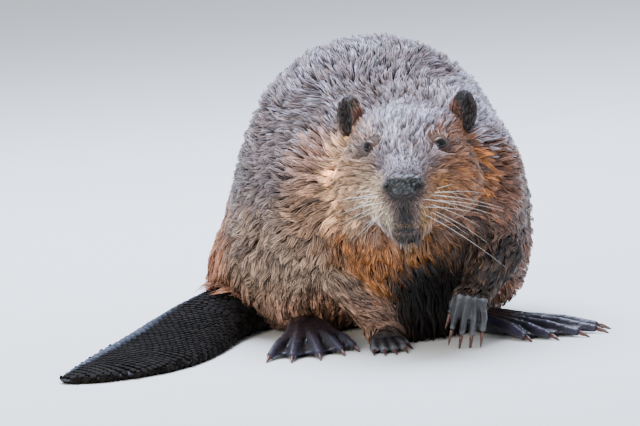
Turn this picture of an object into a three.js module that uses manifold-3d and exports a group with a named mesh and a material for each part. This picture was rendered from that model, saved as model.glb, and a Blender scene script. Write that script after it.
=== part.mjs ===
// A life-size beaver hunched on its haunches, parted into the pieces that a person would name.
// Millimetres, +Z up. It faces -Y, its left side is +X, and its feet, tail and belly rest at z = 0.
// Every outline runs out to the tips of the coat.
import * as THREE from "three";
import { mergeVertices } from "three/addons/utils/BufferGeometryUtils.js";
import Module from "manifold-3d";

const wasm = await Module();
wasm.setup();

// Driving dimensions.
const trunk = { width: 314, length: 405, height: 306, midX: 64 };
const head = { width: 156, length: 150, height: 118, eyeSpacing: 67, earSpacing: 115, earHeight: 43 };
const headStance = { eyes: [89, 0, 206], pitch: 12, roll: 1, yaw: -4.6 };
const tail = { width: 108, rootWidth: 72, rootThickness: 50, thickness: 21, tipThickness: 9, roll: [-22, 0] };
const hindFoot = { length: 128, heelWidth: 34, heelHeight: 30, toeRadius: 7, webThickness: 2.6 };
const foreArm = { elbowRadius: 28, wristRadius: 14 };
const forePaw = { palmLength: 28, palmWidth: 34, palmHeight: 17, fingerRadius: 5.3 };
const claw = { hindLength: 14, hindRadius: 3.4, foreLength: 14, foreRadius: 3, droop: 2.5 };
const eyeRadius = 6.4;

const gap = 0.3; // free space between neighbouring pieces
const seatGap = 0.5; // free space under the nose and the ears
const socketGap = 2.8; // free space round the coarser hollow that the head sits in
const cell = { trunk: 36, head: 13.5, socket: 15, nose: 8.6 }; // grid spacing of each carved surface
const floorSlab = 60; // depth of the block that trims the soles flat

const degrees = Math.PI / 180;
const point = (x, y, z) => new THREE.Vector3(x, y, z);
const mix = THREE.MathUtils.lerp;

// Forms. Each is a function that gives the signed distance of a point, below zero inside.

function egg(at, size, turn = [0, 0, 0]) {
  const place = new THREE.Matrix4().makeRotationFromEuler(
    new THREE.Euler(...turn.map((angle) => angle * degrees), "ZYX"),
  );
  place.setPosition(...at);
  const inward = place.invert();
  const local = new THREE.Vector3();
  return (p) => {
    local.copy(p).applyMatrix4(inward);
    const reach = Math.hypot(local.x / size[0], local.y / size[1], local.z / size[2]);
    const slope = Math.hypot(local.x / size[0] ** 2, local.y / size[1] ** 2, local.z / size[2] ** 2);
    return slope > 0 ? (reach * (reach - 1)) / slope : -Math.min(...size);
  };
}

function limb(from, fromRadius, to, toRadius) {
  const start = point(...from);
  const along = point(...to).sub(start);
  const local = new THREE.Vector3();
  return (p) => {
    local.copy(p).sub(start);
    const share = THREE.MathUtils.clamp(local.dot(along) / along.lengthSq(), 0, 1);
    return local.addScaledVector(along, -share).length() - mix(fromRadius, toRadius, share);
  };
}

function softest(a, b, reach) {
  const overlap = Math.max(reach - Math.abs(a - b), 0) / reach;
  return Math.min(a, b) - (overlap * overlap * reach) / 4;
}

function blend(reach, forms) {
  return (p) => forms.reduce((nearest, form) => softest(nearest, form(p), reach), Infinity);
}

const mirrored = (make) => [make(-1), make(1)];

// Solids. A form becomes one closed surface, with a vertex in each grid cell that it crosses.

function solidOf(form, low, high, spacing, grow = 0) {
  const count = low.map((start, axis) => Math.ceil((high[axis] - start) / spacing) + 1);
  const step = [1, count[0], count[0] * count[1]];
  const value = new Float32Array(count[0] * count[1] * count[2]);
  const vertexOf = new Int32Array(value.length).fill(-1);
  const vertices = [];
  const triangles = [];
  const each = (visit) => {
    for (let k = 0; k < count[2]; k++)
      for (let j = 0; j < count[1]; j++)
        for (let i = 0; i < count[0]; i++) visit([i, j, k], i + j * step[1] + k * step[2]);
  };
  each((at, index) => {
    const rim = at.some((n, axis) => n === 0 || n === count[axis] - 1);
    const here = point(...at.map((n, axis) => low[axis] + n * spacing));
    value[index] = rim ? spacing : form(here) - grow;
  });
  each((at, index) => {
    if (at.some((n, axis) => n === count[axis] - 1)) return;
    const middle = new THREE.Vector3();
    let crossings = 0;
    for (let corner = 0; corner < 8; corner++)
      for (let axis = 0; axis < 3; axis++) {
        if (corner & (1 << axis)) continue;
        const bits = [corner & 1, (corner >> 1) & 1, (corner >> 2) & 1];
        const near = index + bits[0] * step[0] + bits[1] * step[1] + bits[2] * step[2];
        const a = value[near];
        const b = value[near + step[axis]];
        if (a < 0 === b < 0) continue;
        const crossing = point(...bits);
        crossing.setComponent(axis, a / (a - b));
        middle.add(crossing);
        crossings++;
      }
    if (!crossings) return;
    vertexOf[index] = vertices.length / 3;
    middle.divideScalar(crossings).toArray().forEach((n, axis) => {
      vertices.push(low[axis] + (at[axis] + n) * spacing);
    });
  });
  const corner = (index) => point(...vertices.slice(3 * vertexOf[index], 3 * vertexOf[index] + 3));
  each((at, index) => {
    for (let axis = 0; axis < 3; axis++) {
      const across = step[(axis + 1) % 3];
      const up = step[(axis + 2) % 3];
      if (at[axis] === count[axis] - 1 || value[index] < 0 === value[index + step[axis]] < 0) continue;
      const ring = [index - across - up, index - up, index, index - across];
      if (value[index] >= 0) ring.reverse();
      const first = corner(ring[0]).distanceTo(corner(ring[2]));
      const second = corner(ring[1]).distanceTo(corner(ring[3]));
      if (first > second) ring.push(ring.shift());
      const [a, b, c, d] = ring.map((n) => vertexOf[n]);
      triangles.push(a, b, c, a, c, d);
    }
  });
  return manifoldOf(vertices, triangles);
}

function manifoldOf(vertices, triangles) {
  const mesh = new wasm.Mesh({
    numProp: 3,
    vertProperties: new Float32Array(vertices),
    triVerts: new Uint32Array(triangles),
  });
  return new wasm.Manifold(mesh);
}

function solidFrom(geometry, matrix = new THREE.Matrix4()) {
  const bare = geometry.clone().applyMatrix4(matrix);
  bare.deleteAttribute("normal");
  bare.deleteAttribute("uv");
  const merged = mergeVertices(bare, 1e-4);
  return manifoldOf(merged.attributes.position.array, merged.index.array);
}

function placed(at, turn = [0, 0, 0], size = [1, 1, 1]) {
  const euler = new THREE.Euler(...turn.map((angle) => angle * degrees), "ZYX");
  return new THREE.Matrix4().compose(
    point(...at),
    new THREE.Quaternion().setFromEuler(euler),
    point(...size),
  );
}

// A ball stretched into an egg-shaped region, for parting one surface into named pieces.
function region(at, size, turn, grow = 0, detail = 10) {
  const ball = new THREE.SphereGeometry(1, detail, Math.round(detail * 0.7));
  return solidFrom(ball, placed(at, turn, size.map((radius) => radius + grow)));
}

// A closed surface over rings of points, with a fan over each end.
function loft(rings) {
  const sides = rings[0].length;
  const vertices = rings.flat().flatMap((p) => p.toArray());
  const triangles = [];
  for (let ring = 0; ring < rings.length - 1; ring++)
    for (let side = 0; side < sides; side++) {
      const a = ring * sides + side;
      const b = ring * sides + ((side + 1) % sides);
      triangles.push(a, b, b + sides, a, b + sides, a + sides);
    }
  [rings[0], rings.at(-1)].forEach((ring, end) => {
    const centre = ring.reduce((sum, p) => sum.add(p), new THREE.Vector3()).divideScalar(sides);
    const hub = vertices.length / 3;
    const first = end ? (rings.length - 1) * sides : 0;
    vertices.push(...centre.toArray());
    for (let side = 0; side < sides; side++) {
      const pair = [first + side, first + ((side + 1) % sides)];
      if (!end) pair.reverse();
      triangles.push(hub, ...pair);
    }
  });
  const solid = manifoldOf(vertices, triangles);
  return solid.volume() < 0 ? manifoldOf(vertices, triangles.reverse()) : solid;
}

// A bent, tapering tube. sectionAt gives half the width and height, and the roll, at a share of the way.
function tube(path, stations, sides, sectionAt) {
  const rings = [];
  for (let n = 0; n <= stations; n++) {
    const share = n / stations;
    const { wide, high, roll = 0 } = sectionAt(share);
    const centre = path.getPoint(share);
    const ahead = path.getTangent(share);
    const side = new THREE.Vector3().crossVectors(ahead, point(0, 0, 1));
    if (side.lengthSq() < 1e-6) side.set(1, 0, 0);
    side.normalize();
    const top = new THREE.Vector3().crossVectors(side, ahead).normalize();
    side.applyAxisAngle(ahead, roll);
    top.applyAxisAngle(ahead, roll);
    const ring = [];
    for (let n = 0; n < sides; n++) {
      const angle = (2 * Math.PI * n) / sides;
      const spot = centre.clone().addScaledVector(side, wide * Math.cos(angle));
      ring.push(spot.addScaledVector(top, high * Math.sin(angle)));
    }
    rings.push(ring);
  }
  return loft(rings);
}

const curve = (points) => new THREE.CatmullRomCurve3(points.map((p) => point(...p)), false, "centripetal");

function roundedTip(share, from = 0.8) {
  const past = Math.max(0, (share - from) / (1 - from));
  return Math.sqrt(Math.max(0.04, 1 - past * past));
}

const unionOf = (solids) => solids.reduce((sum, solid) => sum.add(solid));

function largestOf(solid) {
  return solid.decompose().sort((a, b) => b.volume() - a.volume())[0];
}

function aboveFloor(solid) {
  const slab = new THREE.BoxGeometry(2000, 2000, floorSlab);
  return solid.subtract(solidFrom(slab, placed([0, 0, -floorSlab / 2])));
}

// Trunk, neck, haunches and shoulders share one surface. A spot on it is given as a share of half the
// width from the middle, of the length from the forepaws, and of the height.

const spot = ([across, back, up]) => [
  trunk.midX + (across * trunk.width) / 2,
  back * trunk.length,
  up * trunk.height,
];
const extent = ([across, back, up]) => [
  (across * trunk.width) / 2,
  back * trunk.length,
  up * trunk.height,
];
const mass = (at, size, turn) => egg(spot(at), extent(size), turn);

const furredTail = { from: [-12, 300, 84], to: [-92, 252, 46], radii: [80, 51] };

const trunkForm = blend(34, [
  mass([-0.03, 0.55, 0.52], [0.91, 0.31, 0.485]), // hump of the back
  mass([0.0, 0.5, 0.39], [0.97, 0.31, 0.34]), // belly and flanks
  mass([0.1, 0.36, 0.5], [0.78, 0.23, 0.36]), // rib cage
  mass([-0.12, 0.66, 0.47], [0.77, 0.26, 0.38]), // loins
  mass([-0.22, 0.735, 0.343], [0.76, 0.25, 0.335]), // rump
  mass([0.16, 0.25, 0.58], [0.5, 0.18, 0.25]), // neck
  mass([0.12, 0.22, 0.33], [0.46, 0.14, 0.29]), // breast
  mass([0.62, 0.25, 0.48], [0.33, 0.15, 0.26]), // left shoulder
  mass([-0.42, 0.26, 0.48], [0.33, 0.15, 0.26]), // right shoulder
  mass([0.6, 0.5, 0.25], [0.38, 0.21, 0.255]), // left haunch
  mass([-0.58, 0.48, 0.25], [0.4, 0.22, 0.255]), // right haunch
  limb(furredTail.from, furredTail.radii[0], furredTail.to, furredTail.radii[1]),
]);

const trunkBox = [
  [-154, -24, -2 * cell.trunk],
  [262, 460, 340],
];

// Regions that part the shared surface, each by its middle, its reach and its turn.
const regions = {
  neck: { at: spot([0.15, 0.16, 0.62]), size: [100, 78, 92], turn: [20, 0, 0] },
  haunch_left: { at: spot([0.78, 0.5, 0.22]), size: [66, 88, 78] },
  haunch_right: { at: spot([-0.78, 0.48, 0.22]), size: [66, 90, 78] },
  upper_arm_left: { at: spot([0.78, 0.22, 0.4]), size: [46, 54, 62] },
  upper_arm_right: { at: spot([-0.48, 0.22, 0.38]), size: [46, 54, 60] },
  tail_base: { at: spot([-0.95, 0.64, 0.15]), size: [74, 76, 86] },
};

// The head is modelled level, with its origin between the eyes.

const headMatrix = placed(headStance.eyes, [headStance.pitch, headStance.roll, headStance.yaw]);
const headBack = 88; // how far behind the eyes the head is cut off, inside the neck
const halfWidth = head.width / 2;
const headSpot = ([across, back, up]) => [across * halfWidth, back * head.length, up * head.height];
const headMass = (at, size, turn) => egg(headSpot(at), headSpot(size), turn);

const headForm = blend(15, [
  headMass([0, 0.33, -0.08], [0.76, 0.35, 0.34]), // crown
  headMass([0, 0.12, -0.19], [0.64, 0.32, 0.34]), // brow
  limb(headSpot([0, 0.03, -0.06]), 24, headSpot([0, -0.37, -0.16]), 18), // bridge of the muzzle
  headMass([0, -0.25, -0.36], [0.38, 0.24, 0.27]), // muzzle
  ...mirrored((side) => headMass([side * 0.22, -0.33, -0.37], [0.22, 0.14, 0.18])), // whisker pads
  headMass([0, -0.26, -0.62], [0.25, 0.15, 0.14]), // chin
  ...mirrored((side) => headMass([side * 0.52, 0.1, -0.35], [0.49, 0.32, 0.36])), // cheeks
  headMass([0, 0.2, -0.52], [0.66, 0.32, 0.29]), // throat
]);
const headBox = [
  [-100, -95, -110],
  [100, 125, 60],
];
const noseForm = blend(6, [
  egg([0, -64, -17], [17, 12, 12]),
  egg([0, -64, -29], [12, 11, 12]),
  ...mirrored((side) => egg([side * 11, -65, -20], [8.5, 9.5, 11])),
]);
const noseBox = [
  [-27, -84, -47],
  [27, -42, 4],
];
const nostrils = mirrored((side) =>
  region([side * 14, -73, -20], [2.8, 7, 5.5], [0, 25 * side, 20 * side], 0, 8),
);

const eyeAt = (side) => [(side * head.eyeSpacing) / 2 + side * 0.6, -0.8, 0];
const earAt = (side) => [(side * head.earSpacing) / 2, 62, 14];

function eyeball(side, grow = 0) {
  const ball = new THREE.SphereGeometry(eyeRadius + grow, 9, 7);
  return solidFrom(ball, placed(eyeAt(side)));
}

// A round cup that opens forwards and to its own side.
const earTurn = (side) => [-6, side * 4, side * 44];

function earShell(side, grow = 0) {
  return region(earAt(side), [14, 9, head.earHeight / 2], earTurn(side), grow, 9);
}

function ear(side) {
  const [x, y, z] = earAt(side);
  const hollow = region([x + side * 4, y - 7, z + 1], [10.5, 8, head.earHeight / 2 - 3.5], earTurn(side), 0, 9);
  return earShell(side).subtract(hollow);
}

// Everything further back than a given depth, as one block.
function behindPlane(depth) {
  const side = 400;
  return solidFrom(new THREE.BoxGeometry(side, side, side), placed([0, depth + side / 2, 0]));
}

function makeHead() {
  const eyes = mirrored((side) => eyeball(side));
  const sockets = unionOf(mirrored((side) => eyeball(side, gap)));
  const whole = solidOf(headForm, ...headBox, cell.head).subtract(behindPlane(headBack));
  const behind = solidOf(headForm, ...headBox, cell.socket, socketGap).subtract(behindPlane(headBack + gap));
  const nose = solidOf(noseForm, ...noseBox, cell.nose).subtract(unionOf(nostrils));
  const seat = solidOf(headForm, ...headBox, cell.head, seatGap);
  const ears = mirrored((side) => largestOf(ear(side).subtract(seat)));
  const jawRegion = (grow) => region(headSpot([0, -0.3, -0.72]), [44, 52, 23], [-6, 0, 0], grow);
  const skull = largestOf(whole.subtract(sockets).subtract(jawRegion(gap)));
  const jaw = largestOf(whole.intersect(jawRegion(0)));
  const room = unionOf([behind, ...mirrored((side) => earShell(side, gap))]);
  return { skull, jaw, nose: largestOf(nose.subtract(seat)), ears, eyes, room };
}

// Digits and claws. A digit runs along a bent path to a blunt tip.

function digit(path, radius, stations, sides = 5) {
  return tube(path, stations, sides, (share) => {
    const thick = mix(radius * 1.08, radius * 0.9, share) * mix(0.6, 1, roundedTip(share));
    return { wide: thick, high: thick };
  });
}

// A claw goes on from the end of its digit, face to face with it, and bends down.
function clawOn(path, length, radius) {
  const ahead = path.getTangent(1);
  const start = path.getPoint(1).addScaledVector(ahead, gap);
  const middle = start.clone().addScaledVector(ahead, length * 0.55);
  const end = start.clone().addScaledVector(ahead, length).add(point(0, 0, -claw.droop));
  return tube(new THREE.QuadraticBezierCurve3(start, middle, end), 2, 4, (share) => {
    const thick = mix(radius, 0.5, share);
    return { wide: thick * 0.9, high: thick * 1.1 };
  });
}

// A thin sheet between two neighbouring toes, sagging in its middle and scalloped at its free edge.
function web(first, second) {
  const rows = 1;
  const columns = 2;
  const sheets = [1, -1].map((face) => {
    const sheet = [];
    for (let row = 0; row <= rows; row++)
      for (let column = 0; column <= columns; column++) {
        const across = column / columns;
        const hang = Math.sin(across * Math.PI);
        const reach = mix(0.3, 0.93, row / rows) - (0.14 * hang * row) / rows;
        const spotOn = first.getPoint(reach).lerp(second.getPoint(reach), across);
        sheet.push(spotOn.add(point(0, 0, (face * hindFoot.webThickness) / 2 - 3 * hang)));
      }
    return sheet;
  });
  const wide = columns + 1;
  const per = sheets[0].length;
  const vertices = sheets.flat().flatMap((p) => p.toArray());
  const triangles = [];
  const quad = (a, b, c, d) => triangles.push(a, b, c, a, c, d);
  for (let row = 0; row < rows; row++)
    for (let column = 0; column < columns; column++) {
      const a = row * wide + column;
      quad(a, a + wide, a + wide + 1, a + 1);
      quad(per + a, per + a + 1, per + a + wide + 1, per + a + wide);
    }
  for (let column = 0; column < columns; column++) {
    const far = rows * wide + column;
    quad(column, column + 1, per + column + 1, per + column);
    quad(far + 1, far, per + far, per + far + 1);
  }
  for (let row = 0; row < rows; row++) {
    const a = row * wide;
    const b = a + columns;
    quad(a + wide, a, per + a, per + a + wide);
    quad(b, b + wide, per + b + wide, per + b);
  }
  const solid = manifoldOf(vertices, triangles);
  return solid.volume() < 0 ? manifoldOf(vertices, triangles.reverse()) : solid;
}

// The hind foot lies flat, toes towards -Y, with its heel at the origin. Toes are listed from the inside.
const hindToes = [
  { root: -19, spread: -20, length: 62 },
  { root: -10, spread: -11, length: 80 },
  { root: 0, spread: -1, length: 96 },
  { root: 10, spread: 9, length: 98 },
  { root: 19, spread: 19, length: 86 },
];

function toePath(side, toe, from = 0) {
  const heading = side * toe.spread * degrees;
  const start = [side * toe.root, -0.55 * hindFoot.length];
  const along = (length) => [start[0] + Math.sin(heading) * length, start[1] - Math.cos(heading) * length];
  const points = [
    [side * toe.root * 0.7, -0.3 * hindFoot.length, 19],
    [...start, 15],
    [...along(toe.length * 0.35), 13],
    [...along(toe.length * 0.7), 10],
    [...along(toe.length), 6],
  ];
  return curve(points.slice(from));
}

function makeHindFoot(side, matrix) {
  const { length, heelWidth, heelHeight, toeRadius } = hindFoot;
  const path = curve([
    [0, 12, heelHeight * 0.48],
    [0, -0.25 * length, heelHeight * 0.46],
    [0, -0.68 * length, 9],
  ]);
  const sole = (grow) =>
    tube(path, 4, 8, (share) => ({
      wide: mix(heelWidth / 2, 28, share) * roundedTip(1 - share, 0.8) + grow,
      high: mix(heelHeight / 2, 9, share) * roundedTip(1 - share, 0.8) + grow,
    }));
  const toes = hindToes.map((toe) => digit(toePath(side, toe), toeRadius, 3));
  const claws = hindToes.map((toe) => clawOn(toePath(side, toe), claw.hindLength, claw.hindRadius));
  const edges = hindToes.map((toe) => toePath(side, toe, 1));
  const webs = edges.slice(1).map((edge, n) => web(edges[n], edge));
  return {
    flesh: largestOf(aboveFloor(unionOf([sole(0), ...toes, ...webs]).transform(matrix.elements))),
    claws: claws.map((solid) => largestOf(aboveFloor(solid.transform(matrix.elements)))),
    seat: sole(gap).transform(matrix.elements),
  };
}

// A forepaw points its fingers towards -Y from the wrist at the origin, thumb on the inside.
const foreFingers = [
  { root: -13.5, spread: -18, length: 16 },
  { root: -10, spread: -6, length: 30 },
  { root: -2, spread: -1, length: 34 },
  { root: 6, spread: 3, length: 33 },
  { root: 13, spread: 9, length: 27 },
];

// bend drops the fingers from the knuckles, and raise lifts the wrist above the knuckles.
function makeForePaw(side, matrix, bend, raise) {
  const { palmLength, palmWidth, palmHeight, fingerRadius } = forePaw;
  const wristPath = curve([
    [0, 12, raise * 1.2],
    [0, -palmLength * 0.4, raise * 0.5],
    [0, -palmLength, 0],
  ]);
  const palm = (grow) =>
    tube(wristPath, 4, 8, (share) => ({
      wide: mix(palmWidth * 0.4, palmWidth / 2, share) * roundedTip(share, 0.7) + grow,
      high: mix(palmHeight * 0.62, palmHeight * 0.42, share) * roundedTip(share, 0.7) + grow,
    }));
  const fingers = foreFingers.map((finger) => {
    const heading = side * finger.spread * degrees;
    const thumb = finger.length < 20;
    const start = [side * finger.root, thumb ? -palmLength * 0.5 : -palmLength * 0.85];
    const knuckle = [start[0], start[1] - 5 * Math.sin(bend), 2 + 2 * Math.sin(bend)];
    const at = (length, drop) => [
      start[0] + Math.sin(heading) * length,
      start[1] - Math.cos(heading) * length * Math.cos(bend),
      drop * -Math.sin(bend) * finger.length,
    ];
    return curve([
      [start[0] * 0.8, start[1] + 12, 1],
      knuckle,
      at(finger.length * 0.75, 0.5),
      at(finger.length, 1),
    ]);
  });
  const claws = fingers.map((path) => clawOn(path, claw.foreLength, claw.foreRadius));
  const flesh = unionOf([palm(0), ...fingers.map((path) => digit(path, fingerRadius, 3))]);
  return {
    flesh: largestOf(aboveFloor(flesh.transform(matrix.elements))),
    claws: claws.map((solid) => largestOf(aboveFloor(solid.transform(matrix.elements)))),
    seat: palm(gap).transform(matrix.elements),
  };
}

function makeForearm(elbow, wrist, grow = 0) {
  const path = new THREE.LineCurve3(point(...elbow), point(...wrist));
  return tube(path, 5, 9, (share) => {
    const thick = mix(foreArm.elbowRadius, foreArm.wristRadius, share) * roundedTip(1 - share, 0.7) + grow;
    return { wide: thick, high: thick };
  });
}

// The paddle of the tail lies on its inner edge and lifts its outer one, less and less towards the tip.
const tailPath = curve([
  [-77, 240, 30],
  [-124, 187, 17.5],
  [-154, 90, 12.5],
  [-184, 14, 9],
  [-222, -38, 6.2],
  [-266.4, -67, 3.4],
]);

function makeTail(grow = 0) {
  return tube(tailPath, 10, 10, (share) => {
    const swell = Math.sin(Math.min(1, share / 0.62) * Math.PI * 0.5);
    const taper = 1 - 0.18 * Math.max(0, (share - 0.62) / 0.38);
    const wide = mix(tail.rootWidth, tail.width, swell) * 0.5 * taper * roundedTip(share, 0.6);
    const early = Math.min(1, share / 0.35);
    const late = Math.max(0, share - 0.35) / 0.65;
    const thick = mix(mix(tail.rootThickness, tail.thickness, early), tail.tipThickness, late);
    const roll = mix(tail.roll[0], tail.roll[1], share ** 0.6) * degrees;
    return { wide: wide + grow, high: (thick / 2) * roundedTip(share, 0.9) + grow, roll };
  });
}

// Materials.
const finish = (color, roughness) => new THREE.MeshStandardMaterial({ color, roughness, metalness: 0 });
const materials = {
  coat: finish(0x6b5446, 0.72),
  headCoat: finish(0x94623a, 0.7),
  bareSkin: finish(0x2c2a2c, 0.5),
  tailSkin: finish(0x1f1b1b, 0.55),
  noseSkin: finish(0x2a2828, 0.45),
  horn: finish(0x6b4a38, 0.4),
  cornea: finish(0x0c0908, 0.08),
};

const beaver = new THREE.Group();

function addNode(name, solid, material, parent = beaver) {
  const mesh = solid.getMesh();
  const geometry = new THREE.BufferGeometry();
  geometry.setAttribute("position", new THREE.BufferAttribute(new Float32Array(mesh.vertProperties), 3));
  geometry.setIndex(new THREE.BufferAttribute(new Uint32Array(mesh.triVerts), 1));
  geometry.computeBoundingBox();
  const centre = geometry.boundingBox.getCenter(new THREE.Vector3());
  geometry.translate(-centre.x, -centre.y, -centre.z);
  geometry.computeVertexNormals();
  const node = new THREE.Mesh(geometry, material);
  node.name = name;
  node.position.copy(centre);
  parent.add(node);
}

// Assembly.

const headPieces = makeHead();
const headGroup = new THREE.Group();
headGroup.applyMatrix4(headMatrix);
beaver.add(headGroup);
addNode("head", headPieces.skull, materials.headCoat, headGroup);
addNode("lower_jaw", headPieces.jaw, materials.headCoat, headGroup);
addNode("nose", headPieces.nose, materials.noseSkin, headGroup);
["right", "left"].forEach((name, n) => {
  addNode(`ear_${name}`, headPieces.ears[n], materials.headCoat, headGroup);
  addNode(`eye_${name}`, headPieces.eyes[n], materials.cornea, headGroup);
});

const limbs = {
  left: {
    side: 1,
    elbow: [192, 92, 92],
    wrist: [150, 24, 53],
    paw: { matrix: placed([146.5, 20, 45.5], [0, 13, -8]), bend: 78 * degrees, raise: 3 },
    foot: placed([128, 128, -1.5], [0, 0, 48]),
  },
  right: {
    side: -1,
    elbow: [10, 88, 82],
    wrist: [55, 52, 23],
    paw: { matrix: placed([56, 46, 5], [0, 0, 6]), bend: 2 * degrees, raise: 9 },
    foot: placed([-24, 152, -1.5], [0, 0, 4]),
  },
};

let rest = aboveFloor(solidOf(trunkForm, ...trunkBox, cell.trunk));
rest = rest.subtract(headPieces.room.transform(headMatrix.elements));
rest = rest.subtract(makeTail(gap));

for (const [name, { side, elbow, wrist, paw, foot }] of Object.entries(limbs)) {
  const pawPieces = makeForePaw(side, paw.matrix, paw.bend, paw.raise);
  const forearm = makeForearm(elbow, wrist).subtract(pawPieces.seat);
  rest = rest.subtract(makeForearm(elbow, wrist, gap));
  addNode(`forearm_${name}`, largestOf(forearm), materials.bareSkin);
  addNode(`forepaw_${name}`, pawPieces.flesh, materials.bareSkin);
  pawPieces.claws.forEach((solid, n) => addNode(`foreclaw_${name}_${n + 1}`, solid, materials.horn));
  const footPieces = makeHindFoot(side, foot);
  addNode(`hind_foot_${name}`, footPieces.flesh, materials.bareSkin);
  rest = rest.subtract(footPieces.seat);
  footPieces.claws.forEach((solid, n) => addNode(`hind_claw_${name}_${n + 1}`, solid, materials.horn));
}

for (const [name, { at, size, turn }] of Object.entries(regions)) {
  addNode(name, largestOf(rest.intersect(region(at, size, turn))), materials.coat);
  rest = rest.subtract(region(at, size, turn, gap));
}
addNode("trunk", largestOf(rest), materials.coat);
addNode("tail", largestOf(aboveFloor(makeTail())), materials.tailSkin);

// The origin lies on the floor, under the middle of the whole animal.
const bounds = new THREE.Box3().setFromObject(beaver);
const middle = bounds.getCenter(new THREE.Vector3());
beaver.position.set(-middle.x, -middle.y, -bounds.min.z);

export default beaver;
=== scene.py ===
import bpy
import bmesh
import math
import numpy as np
from mathutils import Euler, Matrix, Vector
from mathutils.bvhtree import BVHTree
from mathutils.kdtree import KDTree


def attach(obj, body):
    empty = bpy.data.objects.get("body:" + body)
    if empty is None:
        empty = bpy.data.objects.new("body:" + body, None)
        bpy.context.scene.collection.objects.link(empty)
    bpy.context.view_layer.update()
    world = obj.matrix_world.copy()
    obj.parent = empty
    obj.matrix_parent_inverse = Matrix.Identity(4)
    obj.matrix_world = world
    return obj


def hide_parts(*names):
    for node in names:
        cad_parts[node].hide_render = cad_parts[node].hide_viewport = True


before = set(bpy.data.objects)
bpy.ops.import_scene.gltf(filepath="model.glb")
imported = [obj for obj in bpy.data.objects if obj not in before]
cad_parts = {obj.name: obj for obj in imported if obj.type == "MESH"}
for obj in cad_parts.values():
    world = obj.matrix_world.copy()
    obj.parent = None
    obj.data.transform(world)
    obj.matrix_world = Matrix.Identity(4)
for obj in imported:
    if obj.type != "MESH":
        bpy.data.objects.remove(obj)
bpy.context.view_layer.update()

scene = bpy.context.scene
mm = 0.001  # every length below is in millimetres and is turned to metres when a mesh is made
dice = np.random.default_rng(17)


# Small tools.

def linear(hexColour):
    channels = [int(hexColour[i:i + 2], 16) / 255 for i in (1, 3, 5)]
    return np.array([c / 12.92 if c <= 0.04045 else ((c + 0.055) / 1.055) ** 2.4 for c in channels])


def unit(vectors):
    return vectors / np.maximum(np.linalg.norm(vectors, axis=-1, keepdims=True), 1e-9)


def smoothStep(values, start, end):
    t = np.clip((values - start) / (end - start), 0, 1)
    return t * t * (3 - 2 * t)


def ripple(points, size, seed, octaves=6):
    # smooth noise from -1 to 1 whose bumps are about size millimetres across
    waves = np.random.default_rng(seed)
    total = np.zeros(len(points))
    for _ in range(octaves):
        way = unit(waves.normal(size=3)) * waves.uniform(0.7, 1.5) * 2 * math.pi / size / 2
        total += np.sin(points @ way + waves.uniform(0, 2 * math.pi))
    return np.clip(total / math.sqrt(octaves) * 0.8, -1, 1)


def newMesh(name, points, faces):
    # faces is a list of arrays, one row of point numbers for each face
    mesh = bpy.data.meshes.new(name)
    corners = np.concatenate([f.ravel() for f in faces]).astype(np.int32)
    sizes = np.concatenate([np.full(len(f), f.shape[1]) for f in faces])
    mesh.vertices.add(len(points))
    mesh.vertices.foreach_set("co", (np.asarray(points) * mm).astype(np.float32).ravel())
    mesh.loops.add(len(corners))
    mesh.loops.foreach_set("vertex_index", corners)
    mesh.polygons.add(len(sizes))
    mesh.polygons.foreach_set("loop_start", (np.cumsum(sizes) - sizes).astype(np.int32))
    mesh.update(calc_edges=True)
    mesh.validate()
    mesh.shade_smooth()
    return mesh


def paint(mesh, colours, name="tint"):
    layer = mesh.color_attributes.new(name=name, type="FLOAT_COLOR", domain="POINT")
    rgba = np.ones((len(mesh.vertices), 4), np.float32)
    rgba[:, :colours.shape[1]] = colours
    layer.data.foreach_set("color", rgba.ravel())


def unwrap(mesh, places, name="OFBake"):
    # places holds a uv for each point
    layer = mesh.uv_layers.new(name=name)
    corners = np.zeros(len(mesh.loops), np.int32)
    mesh.loops.foreach_get("vertex_index", corners)
    layer.uv.foreach_set("vector", places[corners].astype(np.float32).ravel())


def newPiece(name, mesh, material):
    piece = bpy.data.objects.new(name, mesh)
    scene.collection.objects.link(piece)
    mesh.materials.append(material)
    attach(piece, "root")
    return piece


def trianglesOf(mesh):
    mesh.calc_loop_triangles()
    triangles = np.zeros(len(mesh.loop_triangles) * 3, np.int32)
    mesh.loop_triangles.foreach_get("vertices", triangles)
    return triangles.reshape(-1, 3)


def pointsOf(mesh):
    points = np.zeros(len(mesh.vertices) * 3, np.float32)
    mesh.vertices.foreach_get("co", points)
    return points.reshape(-1, 3).astype(float) / mm


def evaluated(mesh, *modifiers):
    # the mesh after a stack of modifiers, each a type and its settings
    carrier = bpy.data.objects.new("carrier", mesh)
    scene.collection.objects.link(carrier)
    for kind, settings in modifiers:
        modifier = carrier.modifiers.new(kind, kind)
        for key, value in settings.items():
            setattr(modifier, key, value)
    graph = bpy.context.evaluated_depsgraph_get()
    result = bpy.data.meshes.new_from_object(carrier.evaluated_get(graph))
    bpy.data.objects.remove(carrier)
    return result


def edgesOf(triangles):
    pairs = np.concatenate([triangles[:, [0, 1]], triangles[:, [1, 2]], triangles[:, [2, 0]]])
    pairs.sort(axis=1)
    return np.unique(pairs, axis=0)


def spread(values, edges, rounds, amount=1.0):
    # averages a field over its neighbours along the mesh
    a, b = edges.T
    count = len(values)
    near = np.maximum(np.bincount(a, minlength=count) + np.bincount(b, minlength=count), 1)
    values = np.array(values, float)
    flat = values.reshape(count, -1)
    share = np.broadcast_to(np.asarray(amount, float), (count,))
    for _ in range(rounds):
        for column in range(flat.shape[1]):
            field = flat[:, column]
            total = np.bincount(a, field[b], count) + np.bincount(b, field[a], count)
            flat[:, column] += share * (total / near - field)
    return flat.reshape(values.shape)


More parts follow.
